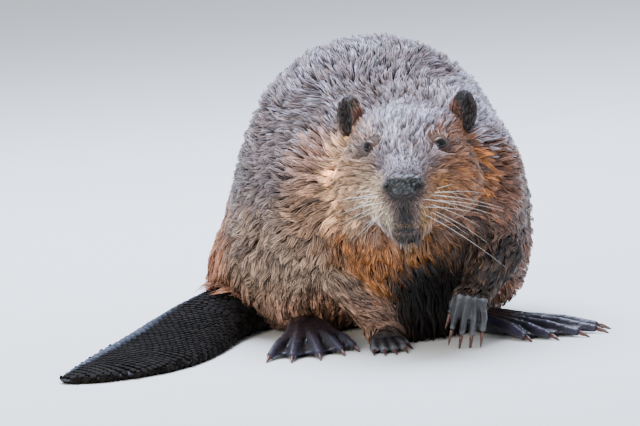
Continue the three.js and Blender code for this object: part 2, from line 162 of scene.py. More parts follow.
def normalsOf(points, triangles):
    a, b, c = (points[triangles[:, i]] for i in range(3))
    across = np.cross(b - a, c - a)
    normals = np.zeros_like(points)
    for corner in range(3):
        for axis in range(3):
            normals[:, axis] += np.bincount(triangles[:, corner], across[:, axis], len(points))
    return unit(normals)


# Where the head is.

headStance = {
    "eyes": (81.7, -156.1, 205.9),  # the point between the eyes
    "turn": (12.0, 1.0, -4.6),  # degrees: nose down, leaning, turned
    "eyeSpacing": 68.2,
    "eyeBack": -0.8,
    "eyeRadius": 6.4,
}
headOrigin = np.array(headStance["eyes"])
headTurn = np.array(Euler([math.radians(a) for a in headStance["turn"]], "XYZ").to_matrix())


def toHead(points):
    return (points - headOrigin) @ headTurn


def fromHead(points):
    return np.asarray(points) @ headTurn.T + headOrigin


def fromHeadWay(ways):
    return np.asarray(ways) @ headTurn.T


# The skin.

# Each group of solids is fused at its own fineness. swell closes the gaps between solids,
# rounds evens out the facets, and depth is how far the skin lies under the tips of the coat.
skinGroups = {
    "body": {
        "nodes": ["trunk", "neck", "haunch_left", "haunch_right", "upper_arm_left",
                  "upper_arm_right", "tail_base"],
        "core": ["head", "lower_jaw", "forearm_left", "forearm_right"],  # fill the sockets
        "voxel": 5.0, "swell": 2.6, "rounds": 11, "depth": 12.5,
    },
    "head": {"nodes": ["head", "lower_jaw"], "voxel": 1.9, "swell": 0.5, "rounds": 4, "depth": 5.0},
    "nose": {"nodes": ["nose"], "voxel": 1.0, "swell": 0.8, "rounds": 4, "depth": 0.2},
    "ears": {"nodes": ["ear_left", "ear_right"], "voxel": 1.2, "swell": 0.6, "rounds": 4, "depth": 0.3},
    "armLeft": {"nodes": ["forearm_left", "forepaw_left"],
                "voxel": 1.1, "swell": 0.0, "rounds": 2, "depth": 0.1},
    "armRight": {"nodes": ["forearm_right", "forepaw_right"],
                 "voxel": 1.5, "swell": 0.4, "rounds": 2, "depth": 0.2},
    "feet": {"nodes": ["hind_foot_left", "hind_foot_right"],
             "voxel": 2.0, "swell": 0.4, "rounds": 3, "depth": 0.2},
    "tail": {"nodes": ["tail"], "voxel": 2.4, "swell": 0.5, "rounds": 4, "depth": 0.9},
}
fineGroups = ("nose", "ears", "armLeft", "armRight", "feet", "tail")
fleshNodes = [name for group in skinGroups.values() for name in group["nodes"]]


def weldedNode(name, swell=0.0):
    body = bmesh.new()
    body.from_mesh(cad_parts[name].data)
    bmesh.ops.remove_doubles(body, verts=body.verts, dist=0.00001)
    bmesh.ops.triangulate(body, faces=body.faces)
    mesh = bpy.data.meshes.new(name + "Copy")
    body.to_mesh(mesh)
    body.free()
    points, triangles = pointsOf(mesh), trianglesOf(mesh)
    points += normalsOf(points, triangles) * swell
    return points, triangles


limbEnds = {"left": ((185, -64, 92), (143, -132, 52)), "right": ((3, -68, 82), (48, -104, 23))}


def depthUnderTips(group, points):
    # the coat thins out towards the nose, the eyes, the ears, the wrists and the floor
    depth = np.full(len(points), float(group["depth"]))
    if "head" in group["nodes"]:
        x, y, z = toHead(points).T
        cheeks = smoothStep(np.abs(x), 30, 52) * smoothStep(y, -30, 10) * smoothStep(-z, -5, 25)
        depth += cheeks * 4 + smoothStep(y, 10, 60) * 3
        depth *= smoothStep(y, -66, -20) * 0.75 + 0.25
        for side in (-1, 1):
            eye = np.array([side * headStance["eyeSpacing"] / 2, headStance["eyeBack"], 0])
            depth *= smoothStep(np.linalg.norm(toHead(points) - eye, axis=1), 7, 20) * 0.75 + 0.25
            ear = np.array([side * 62, 60, 18])
            depth *= smoothStep(np.linalg.norm(toHead(points) - ear, axis=1), 14, 30) * 0.9 + 0.1
        noseAt = np.linalg.norm((toHead(points) - [0, -68, -22]) / [22, 14, 18], axis=1)
        depth *= smoothStep(noseAt, 0.8, 1.5)
        depth += smoothStep(y, 60, 90) * 4
    if "trunk" in group["nodes"]:
        depth *= 1 - 0.45 * smoothStep(-points[:, 2], -40, -12)
    for side, (elbow, wrist) in limbEnds.items():
        if "forearm_" + side in group["nodes"]:
            limb = np.array(wrist, float) - elbow
            along = (points - elbow) @ limb / (limb @ limb)
            depth += 4.5 * smoothStep(-along, -1.0, -0.1)
    return depth


# Furrows and swellings of the muzzle, measured from between the eyes, by which the skin is
# drawn in (minus) or out (plus) along its own normal.
muzzleForms = [
    # middle, reach, millimetres
    ((0, -66, -42), (2.2, 16, 9), -2.4),  # groove under the nose
    ((8, -60, -50), (7, 16, 13), 2.2),  # lips
    ((-8, -60, -50), (7, 16, 13), 2.2),
    ((19, -54, -44), (8, 18, 20), -2.2),  # hollows beside the lips
    ((-19, -54, -44), (8, 18, 20), -2.2),
    ((0, -54, -62), (15, 18, 3.0), -4.0),  # mouth
    ((16, -44, -67), (5, 16, 8), -2.8),  # its corners
    ((-16, -44, -67), (5, 16, 8), -2.8),
    ((0, -52, -73), (11, 16, 7), 2.2),  # chin
    ((26, -44, -14), (9, 18, 8), -2.0),  # hollows beside the bridge
    ((-26, -44, -14), (9, 18, 8), -2.0),
]
noseForms = [
    ((15.5, -68, -21), (4.2, 9, 4.4), -3.4),  # nostrils
    ((-15.5, -68, -21), (4.2, 9, 4.4), -3.4),
    ((17, -68, -13), (5, 9, 4), 0.9),  # their wings
    ((-17, -68, -13), (5, 9, 4), 0.9),
    ((0, -74, -26), (1.4, 8, 7), -1.2),  # groove down the middle
]


def fusedGroup(name, group):
    points, triangles, offset = [], [], 0
    for node in group["nodes"] + group.get("core", []):
        nodePoints, nodeTriangles = weldedNode(node, group["swell"])
        points.append(nodePoints)
        triangles.append(nodeTriangles + offset)
        offset += len(nodePoints)
    rough = newMesh(name, np.concatenate(points), [np.concatenate(triangles)])
    fused = evaluated(rough, ("REMESH", {"mode": "VOXEL", "voxel_size": group["voxel"] * mm}))
    points, triangles = pointsOf(fused), trianglesOf(fused)
    edges = edgesOf(triangles)
    if name in fineGroups:
        for _ in range(group["rounds"]):  # thin digits keep their thickness this way
            points = spread(points, edges, 1, 0.6)
            points = spread(points, edges, 1, -0.56)
    else:
        points = spread(points, edges, group["rounds"], 0.9)
    depth = spread(depthUnderTips(group, points), edges, 6)
    normals = unit(spread(normalsOf(points, triangles), edges, 6))
    points -= normals * depth[:, None]
    points = spread(points, edges, 3, 0.5 if group["voxel"] > 2 else 0.15)
    local = toHead(points)
    for middle, reach, amount in {"head": muzzleForms, "nose": noseForms}.get(name, []):
        weight = smoothStep(-np.linalg.norm((local - middle) / np.array(reach), axis=1), -1.5, -0.2)
        points += normals * (weight * amount)[:, None]
    if name == "nose":
        points += normals * (0.5 * ripple(points, 3.0, 31) + 0.4 * ripple(points, 1.7, 32))[:, None]  # pebbles
    points[:, 2] = np.maximum(points[:, 2], 0.3)
    print("skin:", name, len(triangles), "triangles")
    return newMesh(name + "Skin", points, [triangles])


groupMeshes = {name: fusedGroup(name, group) for name, group in skinGroups.items()}
cutters = []
for name, mesh in groupMeshes.items():
    if name != "body":
        cutter = bpy.data.objects.new(name + "Cutter", mesh)
        scene.collection.objects.link(cutter)
        cutters.append(cutter)
joins = [("BOOLEAN", {"operation": "UNION", "solver": "MANIFOLD", "object": c}) for c in cutters]
united = evaluated(groupMeshes["body"], *joins)
for cutter in cutters:
    bpy.data.objects.remove(cutter)
skinPoints, skinTriangles = pointsOf(united), trianglesOf(united)
skinEdges = edgesOf(skinTriangles)
print("skin: united,", len(skinPoints), "points,", len(skinTriangles), "triangles")

# The creases where two groups meet are softened.
known = {tuple(p) for mesh in groupMeshes.values() for p in np.round(pointsOf(mesh), 2)}
crease = np.array([tuple(p) not in known for p in np.round(skinPoints, 2)], float)
crease = np.clip(spread(crease, skinEdges, 8) * 6, 0, 1)
skinPoints = spread(skinPoints, skinEdges, 12, crease * 0.7)


# Which node each point of the skin belongs to.

nodeNames = fleshNodes
cadPoints, cadTriangles, cadOwner, offset = [], [], [], 0
for number, name in enumerate(nodeNames):
    nodePoints, nodeTriangles = weldedNode(name)
    cadPoints.append(nodePoints)
    cadTriangles.append(nodeTriangles + offset)
    cadOwner += [number] * len(nodeTriangles)
    offset += len(nodePoints)
cadTree = BVHTree.FromPolygons(np.concatenate(cadPoints).tolist(), np.concatenate(cadTriangles).tolist())
cadOwner = np.array(cadOwner)
owner = cadOwner[[cadTree.find_nearest(p)[2] for p in skinPoints.tolist()]]
ownedBy = np.eye(len(nodeNames))[owner]
ownedBy = spread(ownedBy, skinEdges, 5)


def share(*names):
    columns = [nodeNames.index(n) for n in names]
    return ownedBy[:, columns].sum(axis=1)


skinNormals = normalsOf(skinPoints, skinTriangles)
print("skin: owners found")


# Markings.

# Soft patches of colour, painted in this order. Each has a frame, a middle, a reach along
# x, y and z, a colour, and a strength. Head patches are measured from between the eyes.
ground = "#6c5850"  # grey-brown guard hair
markings = [
    # frame, middle, reach, colour, strength
    ("body", (0, 150, 250), (190, 240, 150), "#716468", 0.85),  # the back, greyer
    ("body", (-90, -10, 190), (90, 150, 90), "#7d6d6a", 0.8),  # shoulder and flank
    ("body", (-60, -40, 90), (110, 130, 60), "#a1866f", 0.85),  # low flank, redder
    ("body", (-60, -60, 30), (120, 120, 40), "#ae846b", 0.85),
    ("body", (205, 10, 120), (50, 160, 110), "#503222", 0.9),
    ("body", (205, 20, 45), (60, 160, 50), "#7a4b2a", 0.9),
    ("body", (-85, 120, 60), (70, 90, 80), "#9f6a4e", 1.0),  # rump and tail root
    ("body", (-80, 60, 22), (46, 90, 34), "#532f22", 0.85),  # darker low down by the tail root
    ("body", (190, -90, 165), (60, 60, 45), "#7b5a4a", 0.8),
    ("body", (150, -20, 225), (70, 90, 44), "#8f8080", 0.75),  # silvery shoulder
    ("body", (268, 0, 110), (26, 190, 110), "#a8784e", 0.7),  # golden rim of the far flank
    ("body", (6, -90, 180), (34, 44, 34), "#c09480", 0.85),  # rust beside the right ear
    ("body", (165, -95, 165), (34, 50, 44), "#70442b", 0.9),
    ("body", (20, -105, 140), (62, 50, 46), "#977255", 0.8),
    ("body", (46, -112, 112), (40, 60, 34), "#a8672f", 0.85),  # golden breast
    ("body", (92, -118, 118), (30, 60, 22), "#a0672f", 0.95),
    ("body", (38, -100, 78), (18, 50, 26), "#a0642c", 0.7),
    ("body", (92, -95, 74), (40, 80, 34), "#120b08", 1.0),  # painted shade on the wet hair between the forelegs and under the breast
    ("body", (98, -80, 36), (50, 70, 46), "#070504", 1.0),
    ("body", (136, -95, 86), (22, 40, 40), "#140e0b", 0.9),
    ("body", (134, -112, 112), (22, 50, 20), "#3a2415", 0.85),
    ("body", (45, 60, -20), (190, 210, 26), "#241813", 0.8),  # underside, darker near the floor as painted shade
    ("head", (0, 45, 20), (66, 70, 46), "#6a5a5c", 1.0),  # crown
    ("head", (0, -20, -4), (28, 46, 24), "#8a7c80", 0.95),  # brow and bridge
    ("head", (54, 24, -36), (44, 60, 46), "#92561f", 1.0),  # cheeks
    ("head", (-54, 24, -36), (44, 60, 46), "#c69c74", 1.0),
    ("head", (50, 4, 2), (22, 30, 16), "#744c36", 0.8),  # behind the eyes
    ("head", (-50, 4, 2), (20, 30, 15), "#836757", 0.8),
    ("head", (33, -6, 6), (11, 18, 8), "#ad7246", 0.95),  # brows over the eyes
    ("head", (-33, -6, 4), (9, 18, 7), "#a87349", 0.8),
    ("head", (26, -44, -38), (18, 30, 22), "#94622f", 0.85),  # whisker pads
    ("head", (-26, -44, -38), (18, 30, 22), "#d2b696", 0.85),
    ("head", (17, -58, -50), (5, 20, 15), "#94713f", 0.7),  # pale lips
    ("head", (-15, -58, -50), (4, 20, 16), "#c4b89c", 0.85),
    ("head", (0, -56, -5), (17, 24, 12), "#7a7176", 0.9),  # bridge above the nose
    ("head", (1, -64, -44), (11, 16, 20), "#1c1510", 1.0),  # groove under the nose
    ("head", (0, -56, -57.5), (14, 20, 3.5), "#7c6440", 0.7),  # edge of the lip
    ("head", (0, -54, -63), (15, 20, 5), "#0a0705", 1.0),  # mouth, painted near black as the shade in its slit
    ("head", (2, -50, -74), (14, 18, 9), "#17110e", 1.0),  # chin
    ("head", (0, -50, -88), (22, 26, 7), "#9c8258", 0.9),  # pale hair under the chin
    ("head", (0, -12, -92), (46, 34, 22), "#8f5a25", 0.9),  # throat
    ("head", (62, 60, 20), (12, 20, 20), "#6b3a22", 0.8),
    ("head", (-62, 60, 20), (12, 20, 20), "#5a3426", 0.8),
]
bareColours = {"nose": "#131514", "forepaw": "#2b2c2e", "hindFoot": "#16141c", "tail": "#040303",
               "ear": "#2f2622", "forearm": "#32261f"}
overBare = [
    ("head", (15.5, -70, -21), (4.4, 10, 4.2), "#030303", 1.0),  # nostrils, painted near black as the shade inside them
    ("head", (-15.5, -70, -21), (4.4, 10, 4.2), "#030303", 1.0),
    ("head", (0, -70, -28), (15, 12, 5), "#1d1311", 0.8),  # lower edge of the nose, redder
    ("head", (59, 56, 14), (8, 10, 15), "#14100e", 0.95),  # painted shade in the hollows of the ears
    ("head", (-59, 56, 14), (8, 10, 15), "#14100e", 0.95),
    ("head", (48, 56, 10), (7, 10, 13), "#6f4636", 0.85),  # rusty hair on their inner rims
    ("head", (-49, 56, 10), (6, 10, 12), "#765040", 0.8),
]


def patchWeight(points, where, middle, reach):
    local = toHead(points) if where == "head" else points
    return smoothStep(-np.linalg.norm((local - middle) / np.array(reach), axis=1), -1.3, -0.55)


def paintedAt(points, furShares):
    # furShares holds, for each bare or special part, how much of the point belongs to it
    colour = np.tile(linear(ground), (len(points), 1))
    headShare = furShares["head"]
    for where, middle, reach, hexColour, strength in markings:
        weight = patchWeight(points, where, middle, reach) * strength
        weight = weight * (headShare if where == "head" else 1 - headShare)
        colour += weight[:, None] * (linear(hexColour) - colour)
    for part, hexColour in bareColours.items():
        colour += furShares[part][:, None] * (linear(hexColour) - colour)
    for where, middle, reach, hexColour, strength in overBare:
        weight = patchWeight(points, where, middle, reach) * strength
        colour += weight[:, None] * (linear(hexColour) - colour)
    return colour


shares = {
    "head": smoothStep(share("head", "lower_jaw", "nose", "ear_left", "ear_right"), 0.2, 0.8),
    "nose": smoothStep(share("nose"), 0.35, 0.6),
    "forepaw": smoothStep(share("forepaw_left", "forepaw_right"), 0.1, 0.8),
    "hindFoot": smoothStep(share("hind_foot_left", "hind_foot_right"), 0.3, 0.7),
    "tail": smoothStep(share("tail"), 0.35, 0.6),
    "ear": smoothStep(share("ear_left", "ear_right"), 0.35, 0.7),
    "forearm": smoothStep(share("forearm_left"), 0.3, 0.9) * 0.95 + smoothStep(share("forearm_right"), 0.3, 0.9) * 0.35,
}
headLocal = toHead(skinPoints)
noseTop = smoothStep(headLocal[:, 2], -12, -5)  # short grey hair runs over the top of the nose
shares["nose"] *= 1 - 0.9 * noseTop
skinTint = paintedAt(skinPoints, shares)
bare = np.clip(shares["nose"] + shares["forepaw"] + shares["hindFoot"] + shares["tail"], 0, 1)
furSkin = 1 - bare
skinTint *= (1 - 0.8 * furSkin * (1 - shares["ear"]))[:, None]  # painted shade: the skin under the coat is darkened as if shaded by the hairs

# Painted shade darkens the grooves of bare skin, and painted highlights lighten its ridges.
hollow = ((spread(skinPoints, skinEdges, 1) - skinPoints) * skinNormals).sum(axis=1)
hollow = spread(hollow, skinEdges, 4)
for part in ("nose", "forepaw", "hindFoot"):
    depth = hollow / np.std(hollow[shares[part] > 0.5])
    skinTint *= (1 - shares[part] * 0.9 * smoothStep(depth, 0.1, 1.2))[:, None]
    skinTint *= (1 + shares[part] * 2.6 * smoothStep(-depth, 0.5, 2.0))[:, None]
pebbleTone = shares["nose"] * ripple(skinPoints, 2.6, 33)
skinTint *= (1 + 0.75 * pebbleTone)[:, None]
paintedPebbleGlints = shares["nose"] * smoothStep(ripple(skinPoints, 1.9, 34), 0.4, 0.9) * smoothStep(headLocal[:, 2], -30, -18)
skinTint += 0.5 * paintedPebbleGlints[:, None] * (linear("#62686a") - skinTint)  # painted highlights on the pebbles of the upper nose


# Materials.

def newMaterial(name):
    material = bpy.data.materials.new(name)
    material.use_nodes = True
    tree = material.node_tree
    shader = next(n for n in tree.nodes if n.type == "BSDF_PRINCIPLED")
    return material, tree, shader


def addNode(tree, kind, settings=None, links=None):
    node = tree.nodes.new(kind)
    for key, value in (settings or {}).items():
        if isinstance(key, int) or key in node.inputs:
            node.inputs[key].default_value = value
        else:
            setattr(node, key, value)
    for key, socket in (links or {}).items():
        tree.links.new(socket, node.inputs[key])
    return node


# Wet guard hair: keratin under a film of water, so bright along the locks; the dark between the locks is painted shade
# carried in the tint.
wetHair, tree, shader = newMaterial("wetGuardHair")
tint = addNode(tree, "ShaderNodeAttribute", {"attribute_name": "tint"})
place = addNode(tree, "ShaderNodeTexCoord")
grain = addNode(tree, "ShaderNodeTexNoise", {"Scale": 260.0, "Detail": 3.0}, {"Vector": place.outputs["Object"]})
shade = addNode(tree, "ShaderNodeMapRange", {"From Min": 0.3, "From Max": 0.7, "To Min": 0.8, "To Max": 1.2},
                {"Value": grain.outputs["Fac"]})
mixed = addNode(tree, "ShaderNodeVectorMath", {"operation": "SCALE"},
                {0: tint.outputs["Color"], "Scale": shade.outputs["Result"]})
tree.links.new(mixed.outputs["Vector"], shader.inputs["Base Color"])
shader.inputs["Roughness"].default_value = 0.4
shader.inputs["IOR"].default_value = 1.55  # keratin
shader.inputs["Coat Weight"].default_value = 0.14
shader.inputs["Coat Roughness"].default_value = 0.25
shader.inputs["Coat IOR"].default_value = 1.33  # water

# The same hair soaked and in the shade of the belly, where little light glints on it.
soakedHair = wetHair.copy()
soakedHair.name = "soakedBellyHair"
shader = next(n for n in soakedHair.node_tree.nodes if n.type == "BSDF_PRINCIPLED")
shader.inputs["Coat Weight"].default_value = 0.0
shader.inputs["Specular IOR Level"].default_value = 0.2
shader.inputs["Roughness"].default_value = 0.5

# Damp hide and leather: matt under the fur, finely grained and half glossy on nose and feet.
dampHide, tree, shader = newMaterial("dampHideAndLeather")
tint = addNode(tree, "ShaderNodeAttribute", {"attribute_name": "tint"})
bareMask = addNode(tree, "ShaderNodeAttribute", {"attribute_name": "bare"})
place = addNode(tree, "ShaderNodeTexCoord")
grain = addNode(tree, "ShaderNodeTexNoise", {"Scale": 300.0, "Detail": 4.0}, {"Vector": place.outputs["Object"]})
pebbles = addNode(tree, "ShaderNodeTexVoronoi", {"Scale": 620.0}, {"Vector": place.outputs["Object"]})
shade = addNode(tree, "ShaderNodeMapRange", {"From Min": 0.3, "From Max": 0.7, "To Min": 0.75, "To Max": 1.25},
                {"Value": grain.outputs["Fac"]})
mixed = addNode(tree, "ShaderNodeVectorMath", {"operation": "SCALE"},
                {0: tint.outputs["Color"], "Scale": shade.outputs["Result"]})
tree.links.new(mixed.outputs["Vector"], shader.inputs["Base Color"])
gloss = addNode(tree, "ShaderNodeMapRange", {"To Min": 0.72, "To Max": 0.36}, {"Value": bareMask.outputs["Fac"]})
tree.links.new(gloss.outputs["Result"], shader.inputs["Roughness"])
shader.inputs["Specular IOR Level"].default_value = 0.36
bump = addNode(tree, "ShaderNodeBump", {"Strength": 0.35, "Distance": 0.0006},
               {"Height": pebbles.outputs["Distance"]})
tree.links.new(bump.outputs["Normal"], shader.inputs["Normal"])

# Horny scales of the tail: dull and near black under a skin of dried mud, with hardly any sheen.
scaleHorn = dampHide.copy()
scaleHorn.name = "tailScaleHorn"
shader = next(n for n in scaleHorn.node_tree.nodes if n.type == "BSDF_PRINCIPLED")
shader.inputs["Specular IOR Level"].default_value = 0.05

# Horn of the claws: layered, in a darker and a redder brown.
clawHorn, tree, shader = newMaterial("clawHorn")
place = addNode(tree, "ShaderNodeTexCoord")
layers = addNode(tree, "ShaderNodeTexNoise", {"Scale": 420.0, "Detail": 3.0}, {"Vector": place.outputs["Object"]})
ramp = addNode(tree, "ShaderNodeValToRGB", {}, {"Fac": layers.outputs["Fac"]})
ramp.color_ramp.elements[0].color = (*linear("#2a1a16"), 1)
ramp.color_ramp.elements[0].position = 0.35
ramp.color_ramp.elements[1].color = (*linear("#6d3d2c"), 1)
ramp.color_ramp.elements[1].position = 0.7
tree.links.new(ramp.outputs["Color"], shader.inputs["Base Color"])
shader.inputs["Roughness"].default_value = 0.32
shader.inputs["IOR"].default_value = 1.54

# Wet eye: a dark brown iris and pupil under a clear cornea that mirrors the light.
wetEye, tree, shader = newMaterial("wetEye")
tint = addNode(tree, "ShaderNodeAttribute", {"attribute_name": "tint"})
tree.links.new(tint.outputs["Color"], shader.inputs["Base Color"])
shader.inputs["Roughness"].default_value = 0.08
shader.inputs["IOR"].default_value = 1.376  # cornea
print("materials made")


# The lie of the coat.

hairSource = fromHead([0, -80, -24])  # head hair runs back from just before the nose
neckSource = fromHead([0, 10, -30])


def lieAt(points):
    # the way the hair runs, before it is laid along the skin
    x, y, z = points.T
    outward = unit(points - neckSource)
    low = smoothStep(-z, -190, -30)
    body = outward * 0.8 + np.array([0, 0.75, 0]) + np.stack([0 * x, 0 * x, -0.15 - 1.0 * low], 1)
    breast = patchWeight(points, "body", (85, -100, 90), (75, 60, 70))[:, None]
    body += breast * (np.array([0, 0, -1.6]) + np.stack([(x - 85) / 90, 0 * x, 0 * x], 1))
    rump = patchWeight(points, "body", (-95, 120, 60), (80, 100, 90))[:, None]
    body = body * (1 - rump) + rump * np.array([-0.75, -0.35, -0.55])
    headHair = unit(points - hairSource)
    hx, hy, hz = toHead(points).T
    jowl = smoothStep(np.abs(hx), 14, 40) * smoothStep(-hz, -2, 26)
    muzzle = smoothStep(-hy, 10, 40) * smoothStep(-hz, 24, 44)
    headHair += fromHeadWay(np.stack([0.35 * jowl * np.sign(hx), 0 * hx, -0.42 * jowl - 0.7 * muzzle], 1))
    for side in (-1, 1):
        eye = np.array([side * headStance["eyeSpacing"] / 2, headStance["eyeBack"], 0])
        beside = toHead(points) - eye
        weight = smoothStep(-np.linalg.norm(beside, axis=1), -22, -9)[:, None] * 1.6
        headHair += weight * fromHeadWay(unit(beside))
    chin = share("lower_jaw")[:, None]
    headHair = headHair * (1 - chin) + chin * fromHeadWay([0, 0.75, -0.65])
    mixed = unit(body) * (1 - shares["head"])[:, None] + headHair * shares["head"][:, None]
    for side, (elbow, wrist) in limbEnds.items():
        limb = share("forearm_" + side, "forepaw_" + side)[:, None]
        mixed = mixed * (1 - limb) + limb * unit(np.array(wrist, float) - elbow)
        ear = share("ear_" + side)[:, None]
        up = fromHeadWay([0.35 if side == "left" else -0.35, 0.1, 1])
        mixed = mixed * (1 - ear) + ear * up
        foot = share("hind_foot_" + side)[:, None]
        mixed = mixed * (1 - foot) + foot * np.array([0.5 if side == "left" else 0, -1, -0.2])
    return mixed


def laidAlong(ways, normals):
    return unit(ways - normals * (ways * normals).sum(axis=-1, keepdims=True))


softNormals = unit(spread(skinNormals, skinEdges, 8))
lie = laidAlong(lieAt(skinPoints), softNormals)
lie = laidAlong(spread(lie, skinEdges, 14), softNormals)
sideways = np.cross(softNormals, lie)
swing = (0.30 * ripple(skinPoints, 60, 3) + 0.22 * ripple(skinPoints, 24, 4)) * (1 - 0.7 * shares["head"])
lie = unit(lie * np.cos(swing)[:, None] + sideways * np.sin(swing)[:, None])
print("lie of the coat done")


# How long, how wide and how thick the coat is, node by node.

# length, width and rise of a tuft in millimetres, tufts for each square millimetre, wave in
# millimetres, and tufts in a lock
coatByNode = {
    "trunk": (25, 1.15, 11.5, 0.165, 0.6, 5), "neck": (22, 1.15, 10.5, 0.20, 0.7, 6),
    "haunch_left": (28, 1.35, 12.0, 0.160, 1.2, 8), "haunch_right": (31, 1.45, 12.0, 0.160, 1.7, 9),
    "upper_arm_left": (26, 1.3, 11.5, 0.18, 0.9, 7), "upper_arm_right": (29, 1.35, 12.0, 0.18, 1.4, 8),
    "tail_base": (24, 1.3, 11.0, 0.17, 0.7, 7), "tail": (6, 0.9, 1.2, 0.0, 0.0, 4),
    "head": (24.0, 0.95, 6.2, 0.34, 0.5, 8), "lower_jaw": (17.0, 0.95, 4.6, 0.50, 0.3, 6),
    "nose": (8.0, 0.85, 0.9, 0.55, 0.0, 3), "ear_left": (8.0, 0.6, 1.8, 0.5, 0.2, 4),
    "ear_right": (8.0, 0.6, 1.8, 0.5, 0.2, 4), "forearm_left": (18, 0.9, 4.0, 0.34, 0.5, 5),
    "forearm_right": (24, 1.2, 5.5, 0.26, 1.8, 7), "forepaw_left": (13.0, 0.8, 1.4, 0.4, 0.0, 4),
    "forepaw_right": (11.0, 0.8, 1.3, 0.4, 0.0, 4), "hind_foot_left": (3.0, 0.5, 0.3, 0.0, 0.0, 3),
    "hind_foot_right": (3.0, 0.5, 0.3, 0.0, 0.0, 3),
}
coatTable = np.array([coatByNode[name] for name in nodeNames])
coatFields = spread(coatTable[owner], skinEdges, 10)
hair = dict(zip(("length", "width", "rise", "count", "wave", "lock"), coatFields.T.copy()))
towardsNose = smoothStep(-headLocal[:, 1], 5, 62) * shares["head"]
cheekHair = (smoothStep(np.abs(headLocal[:, 0]), 28, 55) * smoothStep(headLocal[:, 1], -30, 20)
             * smoothStep(-headLocal[:, 2], 0, 30) * shares["head"])
hair["length"] += cheekHair * 8
hair["rise"] += cheekHair * 3.5
hair["length"] *= 1 - 0.68 * towardsNose
hair["rise"] *= 1 - 0.8 * towardsNose
hair["width"] *= 1 - 0.42 * towardsNose
hair["wave"] *= 1 - 0.7 * towardsNose
hair["lock"] *= 1 - 0.6 * towardsNose
hair["lock"] += cheekHair * 7  # wet locks with dark gaps between them
hair["count"] *= 1 - 0.42 * cheekHair
hair["count"] *= 1 + 1.1 * towardsNose
throatHair = smoothStep(-headLocal[:, 2], 62, 84) * smoothStep(headLocal[:, 1], -45, -10) * shares["head"]
hair["length"] += throatHair * 12
hair["rise"] += throatHair * 2
jowlHair = (smoothStep(-headLocal[:, 2], 38, 58) * smoothStep(-headLocal[:, 1], 12, 32)
            * smoothStep(np.abs(headLocal[:, 0]), 11, 20) * shares["head"])
hair["length"] += jowlHair * 12
hair["rise"] += jowlHair * 3.2
chinHair = smoothStep(-headLocal[:, 2], 66, 78) * smoothStep(-headLocal[:, 1], 16, 40) * shares["head"]
hair["length"] += chinHair * 9
hair["rise"] += chinHair * 2.4
breastHair = patchWeight(skinPoints, "body", (80, -110, 100), (90, 60, 60)) * (1 - shares["head"])
hair["length"] += breastHair * 9
hair["lock"] += breastHair * 3
hair["wave"] += breastHair * 0.8
for side in (-1, 1):
    eye = np.array([side * headStance["eyeSpacing"] / 2, headStance["eyeBack"], 0])
    fromEye = np.linalg.norm(headLocal - eye, axis=1)
    nearEye = smoothStep(-fromEye, -19, -8)
    hair["length"] *= 1 - 0.62 * nearEye
    hair["rise"] *= 1 - 0.85 * nearEye
    hair["width"] *= 1 - 0.4 * nearEye
    hair["count"] *= (fromEye > headStance["eyeRadius"] + 3.6) * (1 + 0.8 * nearEye)
hair["count"] *= (shares["nose"] < 0.3) & (shares["tail"] < 0.5) & (shares["hindFoot"] < 0.5)
hair["count"] *= 1 - 0.55 * smoothStep(-skinPoints[:, 2], -22, -12)  # thinner on the underside
alongArm = {}
for side, (elbow, wrist) in limbEnds.items():
    limb = np.array(wrist, float) - elbow
    alongArm[side] = (skinPoints - elbow) @ limb / (limb @ limb)
    nearWrist = smoothStep(alongArm[side], 0.6, 0.95) * share("forearm_" + side)
    hair["length"] += nearWrist * 5
    hair["rise"] += nearWrist * 3.5  # the hair of the forearm lies over the edge of the paw
    fromWrist = np.linalg.norm(skinPoints - np.array(wrist), axis=1)
    onPaw = share("forepaw_" + side) > 0.5
    hair["count"] *= ~onPaw | (fromWrist < 24)  # the fingers are bare

budget = {"bodyTufts": 54000, "headTufts": 33000, "fringeTufts": 2600,
          "beardTufts": 700}


def sowTufts(pick, wanted):
    # roots spread evenly over the chosen triangles, by their area and the wanted number
    a, b, c = (skinPoints[skinTriangles[:, i]] for i in range(3))
    areas = np.linalg.norm(np.cross(b - a, c - a), axis=1) / 2
    weights = areas * hair["count"][skinTriangles].mean(axis=1) * pick[skinTriangles].mean(axis=1)
    total = np.cumsum(weights)
    steps = (np.arange(wanted) + dice.random(wanted)) / wanted * total[-1]
    chosen = np.searchsorted(total, steps)
    mix = dice.random((wanted, 2))
    mix[mix.sum(axis=1) > 1] = 1 - mix[mix.sum(axis=1) > 1]
    weightsOfCorners = np.column_stack([1 - mix.sum(axis=1), mix])
    print("coat:", wanted, "tufts wanted, the table asks for", int(total[-1]))
    return chosen, weightsOfCorners


def between(field, chosen, weightsOfCorners):
    values = field[skinTriangles[chosen]]
    if values.ndim == 2:
        return (values * weightsOfCorners).sum(axis=1)
    return (values * weightsOfCorners[:, :, None]).sum(axis=1)


skinTree = BVHTree.FromPolygons(skinPoints.tolist(), skinTriangles.tolist())


def onSkin(points):
    found = [skinTree.find_nearest(p) for p in points.tolist()]
    spots = np.array([f[0] for f in found])
    faces = np.array([f[2] for f in found])
    return spots, faces


